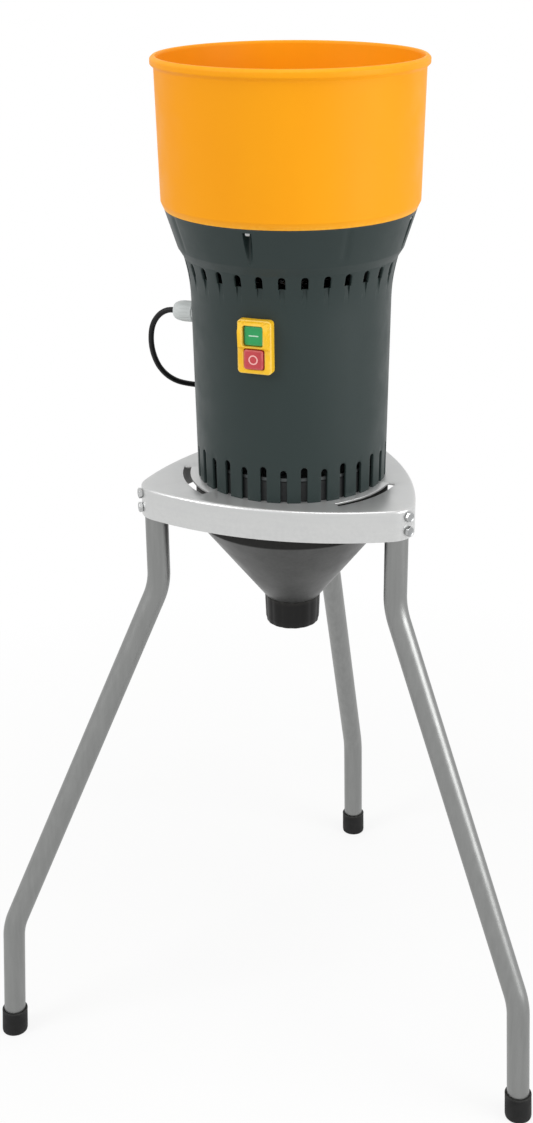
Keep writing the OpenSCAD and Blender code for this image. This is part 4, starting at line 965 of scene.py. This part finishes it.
POCKET_R = 128.3
POCKET_DEPTH = 10.3
POCKET_HALF = 4.5
POCKET_ROOF_Z = 964
POCKET_FOOT_R = POCKET_R - POCKET_DEPTH
FLARE_FOOT_R = 116.4
FLARE_FOOT_Z = 925.5
FLARE_SLOPE = (HOUSING_TOP_R - FLARE_FOOT_R) / (HOUSING_TOP - FLARE_FOOT_Z)


def slope_r(z):
    return FLARE_FOOT_R + FLARE_SLOPE * (z - FLARE_FOOT_Z)


def flare_columns():
    """(quadrant, kind, value): kind 'pocket' has a share of the pocket's half width, 'plain' an angle."""
    shares = (-1, -0.97, -0.88, -0.7, -0.45, -0.2, 0, 0.2, 0.45, 0.7, 0.88, 0.97, 1)
    plain = [2.6, 3.2, 4.5, 6.5, 9, 12, 15, 18, 21, 24, 27, 30, 33, 36, 38, 40, 41, 42, 43, 44]
    columns = []
    for quadrant in range(4):
        columns += [(quadrant, "plain", -a) for a in [45] + plain[::-1]]
        columns += [(quadrant, "pocket", s) for s in shares]
        columns += [(quadrant, "plain", a) for a in plain]
    return columns


def flare_point(r, z, column, above_roof):
    """Azimuth and radius of the flare's outside, with a shallow groove halfway between the pockets."""
    quadrant, kind, value = column
    if kind == "plain":
        fade = ramp(z, 928, 940) * (1 - ramp(z, 966, 968))
        across = radians(45 - abs(value)) * r
        return 90 * quadrant + value, r - fade * exp(-((across / 3.6) ** 2))
    reach = (POCKET_R - min(r, POCKET_R)) / POCKET_DEPTH
    half = POCKET_HALF * sqrt(max(0, 1 - reach * reach)) if r > POCKET_FOOT_R else 0
    u = value * half
    cut = POCKET_R - POCKET_DEPTH * sqrt(max(0, 1 - (u / POCKET_HALF) ** 2))
    if above_roof or r <= POCKET_FOOT_R or abs(value) == 1:
        cut = r
    return 90 * quadrant + degrees(u / r), min(r, cut)


def add_flare(shell):
    """Rows are (radius, height, edge mark, above the pockets' roof, height of the inside)."""
    foot = rounded([(111.2, 918.5), (slope_r(928.2), 928.2, 8), (slope_r(930), 930)], 5, False)[:-1]
    heights = [929.6, FLARE_FOOT_Z + (POCKET_FOOT_R - FLARE_FOOT_R) / FLARE_SLOPE]
    heights += [930.8, 931.4, 932.3, 933.5, 935, 937, 939.5, 942, 945, 948, 951, 954, 957, 960, 962]
    rows = [(r, z, mark, False, z) for r, z, mark in foot]
    slope = [(z, 0, False, z) for z in heights]
    slope += [(POCKET_ROOF_Z, 0, False, 966.5), (POCKET_ROOF_Z, 0, True, 966.5), (966, 0, True, 966.6),
              (967.5, 0.4, True, 967.5)]
    rows += [(slope_r(z), z, mark, above, inner_z) for z, mark, above, inner_z in slope]
    rows.append((HOUSING_TOP_R - 0.5, HOUSING_TOP, 1.0, True, HOUSING_TOP))
    columns = flare_columns()
    outer, inner = [], []
    for r, z, mark, above, inner_z in rows:
        skin = [flare_point(r, z, column, above) for column in columns]
        outer.append(shell.ring([spot(azimuth, at_r, z) for azimuth, at_r in skin], mark))
        inner.append(shell.ring([spot(azimuth, at_r - WALL, inner_z) for azimuth, at_r in skin]))
    shell.strips(outer + inner[::-1], True, True)


def make_housing():
    shell = Shell()
    add_tube(shell)
    add_flare(shell)
    shell.make("housing_shell", "housing_slate", ("housing",), place=HOUSING, sharp=40)


make_housing()

# ---------- stand ----------

# The plate's outline: three long arcs for its sides, about centres behind the axis, and three corner arcs.
PLATE_TIP_R = 167
CORNER_R = 30
CORNER_CENTRE_R = PLATE_TIP_R - CORNER_R
SIDE_R = 122
SIDE_M = SIDE_R - CORNER_R
SIDE_BACK = (CORNER_CENTRE_R ** 2 - SIDE_M ** 2) / (2 * SIDE_M - CORNER_CENTRE_R)
SIDE_ARC_R = SIDE_R + SIDE_BACK
SIDE_HALF = degrees(atan2(CORNER_CENTRE_R * sin(radians(60)), CORNER_CENTRE_R * cos(radians(60)) + SIDE_BACK))
PLATE_HOLE_R = 86
SLOT_R = 115
SLOT_W = 8
SLOT_HALF = 22
CLAMP_R = 91.5
STUD_R = 93
SKIRT_FOOT_Z = 645
PLATE_UNDER_Z = STAND_H - SHEET


def arc(x, y, r, middle, half, steps):
    angles = [radians(middle - half + 2 * half * k / steps) for k in range(steps + 1)]
    return [(x + r * cos(a), y + r * sin(a)) for a in angles]


def plate_outline(inset):
    out = []
    for k in range(3):
        side = radians(-90 + 120 * k)
        corner = side + radians(60)
        out += arc(-SIDE_BACK * cos(side), -SIDE_BACK * sin(side), SIDE_ARC_R - inset,
                   degrees(side), SIDE_HALF, 36)[:-1]
        out += arc(CORNER_CENTRE_R * cos(corner), CORNER_CENTRE_R * sin(corner), CORNER_R - inset,
                   degrees(corner), 60 - SIDE_HALF, 22)[:-1]
    return out


def slot_outline(azimuth, more):
    """Arc slot with nearly square ends, its sides moved outwards by a distance."""
    half_w = SLOT_W / 2 + more
    end = SLOT_HALF + degrees(more / SLOT_R)
    far = arc(0, 0, SLOT_R + half_w, azimuth - 90, end, 32)
    near = arc(0, 0, SLOT_R - half_w, azimuth - 90, end, 32)[::-1]
    corners = far + near
    for i in (0, 32, 33, 65):
        corners[i] = (*corners[i], 1.0)
    return [(x, y) for x, y, _ in rounded(corners, 4)]


def make_stand_plate():
    shell = Shell()
    skirt = rounded([(7, STAND_H), (0, STAND_H, 4, 0.2), (0, SKIRT_FOOT_Z, 0.5, 1.0),
                     (SHEET, SKIRT_FOOT_Z, 0.5, 0.8), (SHEET, PLATE_UNDER_Z, 2), (7, PLATE_UNDER_Z)],
                    7, False)
    shell.stack([(plate_outline(inset), z, mark) for inset, z, mark in skirt])
    azimuths = [radians(a + HOUSING_TURN - 90) for a in (45, 135, 225, 315, 0, 120, 240)]
    radii = [CLAMP_R] * 4 + [STUD_R] * 3
    round_holes = [circle(PLATE_HOLE_R, 96)]
    round_holes += [circle(3.3, 20, r * cos(a), r * sin(a)) for r, a in zip(radii, azimuths)]
    wide, middle, plain = [[slot_outline(a, more) for a in LEG_AZ] for more in (0.45, 0.12, 0)]
    shell.sheet(plate_outline(7), round_holes + wide, STAND_H)
    shell.sheet(plate_outline(7), round_holes + plain, PLATE_UNDER_Z)
    for hole in round_holes:
        shell.stack([(hole, STAND_H, 0), (hole, PLATE_UNDER_Z, 0)])
    for loops in zip(wide, middle, plain, plain):
        shell.stack(zip(loops, (STAND_H, 678.85, 678.5, PLATE_UNDER_Z), (0.4, 1.0, 0.8, 0)))
    shell.make("stand_plate_pressing", "stand_paint", ("stand_plate",), sharp=35)


LEG_TOP_R = 152
LEG_R = 12.5
LEG_BORE_R = 11
LEG_BEND_R = 75
LEG_SIDES = 40
FOOT_R = 349
FOOT_LEAN = tan(radians(3.5))
BOLT_Z = (654, 670)


def at_leg(i):
    return MILL @ turned(LEG_AZ[i])


def make_legs():
    line = rounded([(LEG_TOP_R, PLATE_UNDER_Z), (LEG_TOP_R, 561, LEG_BEND_R),
                    (FOOT_R - 148 * FOOT_LEAN, 148, LEG_BEND_R), (FOOT_R - 5 * FOOT_LEAN, 5)], 28, False)
    path = [Vector((0, -r, z)) for r, z, _ in line]
    for i, name in enumerate(LEG_NAMES):
        shell = Shell()
        rings = shell.tube(path, LEG_R, LEG_SIDES, False)
        bore = shell.tube([path[0], path[0] - Vector((0, 0, 40))], LEG_BORE_R, LEG_SIDES, False)
        shell.strip(rings[0], bore[0])
        shell.face(bore[1])
        shell.face(rings[-1])
        shell.make("leg_tube_" + name, "leg_paint", ("leg_" + name,), place=at_leg(i), outward=False)


def make_feet():
    profile = rounded([(0.001, 0), (14.5, 0, 1.0, 0.4), (15, 3.2, 0.3), (14.75, 3.9, 0.2), (15, 4.6, 0.4),
                       (14.85, 28.2, 0.5), (15, 29, 0.5), (14.9, 31, 0.9, 0.5), (12.6, 31, 0.5, 0.4),
                       (12.55, 4.9), (0.001, 4.9)], 4, False)
    side = [(15 - 0.15 * k / 8, 4.8 + 23 * k / 8, 0) for k in range(1, 8)]
    rows = [(circle(r, 48, 0, z * FOOT_LEAN - FOOT_R), z, mark)
            for r, z, mark in spliced(profile, side, lambda z: z > 6)]
    for i, name in enumerate(LEG_NAMES):
        shell = Shell()
        shell.stack(rows)
        shell.make("foot_cap_" + name, "black_rubber", ("foot_" + name,), place=at_leg(i))


def bolt_place(i, z, turn):
    """Local +Z points out along the leg's azimuth, from the mill's axis at the bolt's height."""
    return turned(LEG_AZ[i]) @ Matrix.Translation((0, 0, z)) @ turned(90, "X") @ turned(turn)


def make_leg_fasteners():
    bolts, washers, nuts = Shell(), Shell(), Shell()
    turns = iter((8, 41, 22, 55, 14, 33))
    shank = [(0.001, 130.9), (2.4, 130.9)] + thread(3.0, 2.6, 131.6, 1, 11)
    shank += [(2.97, 143), (2.97, 167.3), (0.001, 167.3)]
    washer = rounded([(3.3, 137.9, 0.2), (6, 137.9, 0.3, 0.6), (6, 139.5, 0.3, 0.6), (3.3, 139.5, 0.2)], 3)
    for i in range(3):
        for z in BOLT_Z:
            place = bolt_place(i, z, next(turns))
            hex_head(bolts, 10, PLATE_TIP_R, PLATE_TIP_R + 4, place, dish=0.3)
            bolts.lathe(shank, 28, False, place)
            washers.lathe(washer, 40, True, place)
            hex_head(nuts, 10, 132.9, 137.9, place, bore=3.05, both=True)
    bolts.make("leg_bolt_set", "zinc", ("leg_bolts",))
    washers.make("leg_washer_set", "zinc", ("leg_washers",))
    nuts.make("leg_nut_set", "zinc", ("leg_nuts",))


make_stand_plate()
make_legs()
make_feet()
make_leg_fasteners()

# ---------- discharge ----------

SPOUT_R = 25.5
SPOUT_FOOT_Z = 500


def make_funnel():
    """Spun funnel; its upright wall under the plate takes the black collar finish as painted shade from the
    plate.
    """
    shell = Shell()
    profile = rounded([(86, PLATE_UNDER_Z), (105, PLATE_UNDER_Z, 0.8, 0.6), (105, 628, 2.6, 0.3),
                       (30.5, 532.5, 1.0, 0.3), (27.5, 532.5, 0.5), (27.5, 503.5, 0.4), (SPOUT_R, 503.5, 0.3),
                       (SPOUT_R, 533.5, 1.5), (103, 628, 2), (103, 675, 1), (86, 675)], 6)
    sides = 160
    shell.lathe(profile, sides)
    # The upright wall under the plate gets the black collar look: painted shade where the plate shadows it.
    for i, pair in enumerate(zip(profile, profile[1:])):
        if all(r > 104 and z > 628.5 for r, z, _ in pair):
            shell.kinds[i * sides : (i + 1) * sides] = [1] * sides
    shell.make("discharge_funnel_spun", "funnel_grey", ("discharge_funnel",), sharp=30,
               more_looks=("collar_black",))


def make_collar():
    """Ring on the funnel's neck, with sixteen shallow facets."""
    shell = Shell()

    def facets(a, z):
        return 1 - 0.014 * (0.5 - 0.5 * cos(16 * a)) ** 2

    outside = rounded([(30.2, 532.6), (31.1, 532.6, 0.5, 0.8), (29.3, 502.6, 1), (29, SPOUT_FOOT_Z, 0.7, 0.6),
                       (27.5, SPOUT_FOOT_Z)], 5, False)
    side = [(31.05 - 0.062 * k, 529.5 - 1.7 * k, 0) for k in range(1, 15)]
    within = rounded([(26.2, SPOUT_FOOT_Z), (SPOUT_R, SPOUT_FOOT_Z, 0.3), (SPOUT_R, 503, 0.2),
                      (27.6, 503, 0.2), (27.6, 531, 0.3), (29, 531)], 3, False)
    outer = shell.lathe(spliced(outside, side, lambda z: z <= 529.6), 240, False, wave=facets)
    inner = shell.lathe(within, 240, False)
    shell.strip(outer[-1], inner[0])
    shell.strip(outer[0], inner[-1])
    shell.make("spout_collar_ring", "collar_black", ("spout_collar",))


make_funnel()
make_collar()

# ---------- switch ----------

FRAME_FACE_R = 112
FRAME_BACK_R = 108.5
FRAME_W = 36
FRAME_H = 55
BUTTON_W = 20
BUTTON_H = 20
BUTTON_GAP = 1.0
BUTTON_RISE = 12
BUTTON_IN_R = 104
START_FACE_R = 113.6
STOP_FACE_R = 115.2
SPRING_FOOT_R = 100
SPRING_WIRE_R = 0.3
SPRING_WIDE_R = 3.6
SPRING_TIP_R = 1.7
SPRING_LENGTH = 3.28
SPRING_TURNS = 3
SPRING_STEPS = 72


def on_face(x, z, out):
    """Point of the switch: across, up from its middle, and out from the mill's axis."""
    return Vector((x, -out, SWITCH_Z + z))


def shroud_height(x, z):
    """Height of the frame's front above its flat face: a guard that stands up round the green button."""
    stations = ((-27.5, 0.2), (-26, 0.8), (-1.8, 0.8), (1.0, 5.6), (16.5, 6.8), (25.4, 3.0), (26.4, 0.6),
                (27.5, 0.2))
    height = stations[-1][1]
    for (z0, h0), (z1, h1) in zip(stations, stations[1:]):
        if z <= z1:
            height = h0 + (h1 - h0) * max(0, z - z0) / (z1 - z0)
            break
    base = 0.8 - 0.6 * min(1, max(0, abs(x) - 16.4) / 1.2)
    return min(height, base) + max(0, height - base) * (1 - ramp(abs(x), 15.6, 16.8))


def make_switch_frame():
    shell = Shell()
    corners = rounded_box(FRAME_W, FRAME_H, 4, 6)
    # Straight sides are cut into short lengths, so that the back edge can follow the housing.
    outline = []
    for p, q in zip(corners, corners[1:] + corners[:1]):
        n = max(1, round((Vector(q) - Vector(p)).length / 2))
        outline += [(p[0] + (q[0] - p[0]) * k / n, p[1] + (q[1] - p[1]) * k / n) for k in range(n)]

    def behind(x, z):
        return sqrt((housing_radius(SWITCH_Z + z) + 0.1) ** 2 - x * x)

    def front(x, z):
        return FRAME_FACE_R + shroud_height(x, z)

    def below_front(x, z):
        return front(x, z) - 0.3

    face_loop = grown(outline, -1.0)
    # The edge marks on the frame's rounded rim paint its light yellow highlights.
    rings = shell.stack([(outline, behind, 0), (outline, 108, 0), (outline, 110.9, 0),
                         (grown(outline, -0.12), 111.4, 0.6), (grown(outline, -0.45), 111.9, 1.0),
                         (face_loop, 112.2, 0.5), (face_loop, front, 0.4)], on_face)
    hole = rounded_box(BUTTON_W + 2 * BUTTON_GAP, BUTTON_H + 1.4, 2.6, 6)
    holes = [[(x, z + side * BUTTON_RISE) for x, z in hole] for side in (1, -1)]
    wide_holes = [grown(hole, 0.3) for hole in holes]
    extra = [p for hole in holes for p in grown(hole, 0.5)]
    for x in (-16.8, -16.4, -16, -15.6, -13, 13, 15.6, 16, 16.4, 16.8):
        extra += [(x, z) for z in (-26, -22, -17, -12, -7, -1.8, -0.9, 0, 1.0, 5, 9, 13, 16.5, 19, 22, 25.4,
                                   25.9, 26.4)]
    for z in (-26, -0.9, 0, 0.9, 25.4, 25.9, 26.4):
        extra += [(x, z) for x in (-9, -6, -3, 0, 3, 6, 9)]
    shell.sheet(face_loop, wide_holes, front, extra, on_face)
    for hole, wide in zip(holes, wide_holes):
        shell.stack([(wide, front, 0.6), (hole, below_front, 0.6), (hole, FRAME_BACK_R, 0)], on_face)
    inner_loop = grown(outline, -2)
    shell.sheet(inner_loop, holes, FRAME_BACK_R, (), on_face)
    back = shell.stack([(inner_loop, FRAME_BACK_R, 0), (inner_loop, behind, 0)], on_face)
    shell.strip(back[-1], rings[0])
    shell.make("switch_frame_bezel", "switch_yellow", ("switch_frame",), place=HOUSING, sharp=32)


def add_button(shell, face_r, dish):
    """Button with rounded edges, hollow by the dish in its middle, or crowned if that is negative."""
    outline = rounded_box(BUTTON_W, BUTTON_H, 2.2, 6)
    stations = ((1.2, BUTTON_IN_R, 0), (0, BUTTON_IN_R + 0.8, 0), (0, face_r - 1.2, 0.2),
                (0.15, face_r - 0.55, 0.7), (0.5, face_r - 0.18, 1.0), (1.1, face_r, 0.6))
    rows = [(grown(outline, -inset), out, mark) for inset, out, mark in stations]
    rim = rows[-1][0]
    for share in (0.85, 0.6, 0.3):
        rows.append(([(x * share, z * share) for x, z in rim], face_r - dish * (1 - share * share), 0))
    shell.stack(rows, on_face, True)


def add_bar(shell):
    """Raised I of the start button, lying on its side."""
    bar = rounded_box(10.5, 1.2, 0.45, 4)
    shell.stack([(bar, 113.0, 0), (bar, 113.42, 0), (grown(bar, -0.2), 113.55, 0)], on_face, True, 1)


def add_circle(shell):
    """Raised O of the stop button."""
    ring = rounded([(3.6, 114.8), (3.6, 115.72, 0.15), (4.9, 115.68, 0.15), (4.9, 114.8)], 2)
    shell.lathe(ring, 64, True, Matrix.Translation((0, 0, SWITCH_Z)) @ turned(90, "X"), 1)


def make_button(name, color, face_r, dish, rise, add_mark):
    shell = Shell()
    add_button(shell, face_r, dish)
    add_mark(shell)
    body = name + "_button"
    place = HOUSING @ Matrix.Translation((0, 0, rise))
    shell.make(body + "_cap", name + color, (body,), body, place, more_looks=(name + "_mark",))


def make_springs():
    """Conical coil springs between the switch body and the buttons."""
    for name, z in (("start", BUTTON_RISE), ("stop", -BUTTON_RISE)):
        path = []
        for k in range(SPRING_STEPS + 1):
            share = k / SPRING_STEPS
            radius = SPRING_WIDE_R + (SPRING_TIP_R - SPRING_WIDE_R) * share
            loop = polar(radius, 2 * pi * SPRING_TURNS * share)
            rise = SPRING_WIRE_R + 0.01 + SPRING_LENGTH * share
            path.append(on_face(loop.x, z + loop.y, SPRING_FOOT_R + rise))
        shell = Shell()
        shell.tube(path, SPRING_WIRE_R, 8)
        spring = shell.make(name + "_spring_coil", "zinc", (name + "_spring",), place=HOUSING)
        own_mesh(spring)


make_switch_frame()
make_button("start", "_green", START_FACE_R, 0.35, BUTTON_RISE, add_bar)
make_button("stop", "_red", STOP_FACE_R, -0.35, -BUTTON_RISE, add_circle)
make_springs()

# ---------- gland ----------

GLAND_WALL_R = 104.375
GLAND_PLACE = Matrix.Translation((-GLAND_WALL_R, 0, SWITCH_Z)) @ turned(-90, "Y")


def make_gland_body():
    shell = Shell()
    hex_head(shell, 22, 0.5, 5.5, GLAND_PLACE, bore=8)
    profile = [(5.6, -15), (7.4, -15)] + thread(8.0, 7.45, -14.6, 1.5, 9)
    shell.lathe(profile + [(7.9, -0.5), (7.9, 13), (5.6, 13)], 48, True, GLAND_PLACE)
    shell.make("gland_body_hex", "gland_grey", ("gland_body",), place=HOUSING)


def make_gland_nut():
    """Dome nut with twelve shallow grip flutes."""
    shell = Shell()

    def flutes(a, z):
        share = min(1, max(0, (z - 7.4) / 0.8), max(0, (21 - z) / 5))
        return 1 - 0.045 * share * (0.5 + 0.5 * cos(12 * a)) ** 3

    foot = rounded([(8.3, 6, 0.3), (10.9, 6, 0.4, 0.5), (11.25, 7, 0.4, 0.5)], 3, False)
    side = [(11.25, 7.4 + 0.4 * k, 0.1) for k in range(17)]
    angles = [radians(4.5 * k) for k in range(1, 20)]
    dome = [(4.6 + 6.65 * cos(t) ** 0.75, 15 + 13.9 * sin(t), 0.1) for t in angles]
    mouth = rounded([(4.5, 29), (3.25, 29, 0.5, 0.4), (3.25, 24), (8.3, 18)], 4, False)
    shell.lathe(foot + side + dome + mouth, 192, True, GLAND_PLACE, wave=flutes)
    shell.make("gland_dome_nut", "gland_grey", ("gland_nut",), place=HOUSING)


make_gland_body()
make_gland_nut()

# ---------- finishes of the CAD pieces that stay ----------


def finish_cad_pieces():
    slot_of = {row["node"]: row["material_slot"] for row in frame["record"]["subparts"]}
    special = {"chamber_ring": "ring_cast", "chamber_plate": "plate_cast", "feed_chute": "dark_chute"}
    for name, piece in frame["nodes"].items():
        piece.data.materials.clear()
        piece.data.materials.append(LOOKS[special.get(name, slot_of[name])])


finish_cad_pieces()

# ---------- floor, world and lights ----------


def make_floor():
    """Pale floor that turns white away from the object, as the photo's ground does."""
    look = Look("pale_floor")
    look.fill(look.shader, Base_Color=look.clouded("F4F4F3", "EFEFEE", look.noise(3, 3)), Roughness=0.9)
    far = look.node("VectorMath")
    far.operation = "LENGTH"
    look.feed(look.coords, far.inputs[0])
    share = look.math("MULTIPLY", look.looked_at(), look.span(far.outputs["Value"], 0.84, 1.0, 0.45, 1.1))
    look.show_mix(share, look.shader, look.node("Emission", Strength=1.0))
    mesh = bpy.data.meshes.new("floor")
    corners = [(x, y, -0.0005) for x, y in ((-9, -9), (9, -9), (9, 9), (-9, 9))]
    mesh.from_pydata(corners, [], [(0, 1, 2, 3)])
    mesh.materials.append(look.material)
    floor = add_object("floor", mesh)


def make_world():
    """White to the camera and in reflections, and a plain soft light on the object."""
    world = bpy.data.worlds.new("studio")
    bpy.context.scene.world = world
    world.use_nodes = True
    nodes = Nodes(world.node_tree, "OutputWorld")
    plain = nodes.node("Background", Color=srgb("FFFFFF"), Strength=0.56)
    white = nodes.node("Background", Color=srgb("FFFFFF"), Strength=1.0)
    nodes.show_mix(nodes.looked_at(), plain, white)


def make_light(name, place, aim, size, power):
    data = bpy.data.lights.new(name, "AREA")
    data.shape = "DISK"
    data.size = size
    data.energy = power
    light = add_object(name, data)
    light.location = place
    light.rotation_euler = (Vector(aim) - Vector(place)).to_track_quat("-Z", "Y").to_euler()


make_floor()
make_world()
make_light("key", (-1.9, -2.0, 2.5), (0, 0, 0.7), 1.4, 35)
make_light("fill", (2.7, -0.7, 1.3), (0, 0, 0.6), 1.8, 36)
make_light("top", (0.2, -0.6, 3.1), (0, 0, 0.9), 1.4, 17)

# ---------- end ----------

bpy.context.scene.view_settings.view_transform = "Standard"
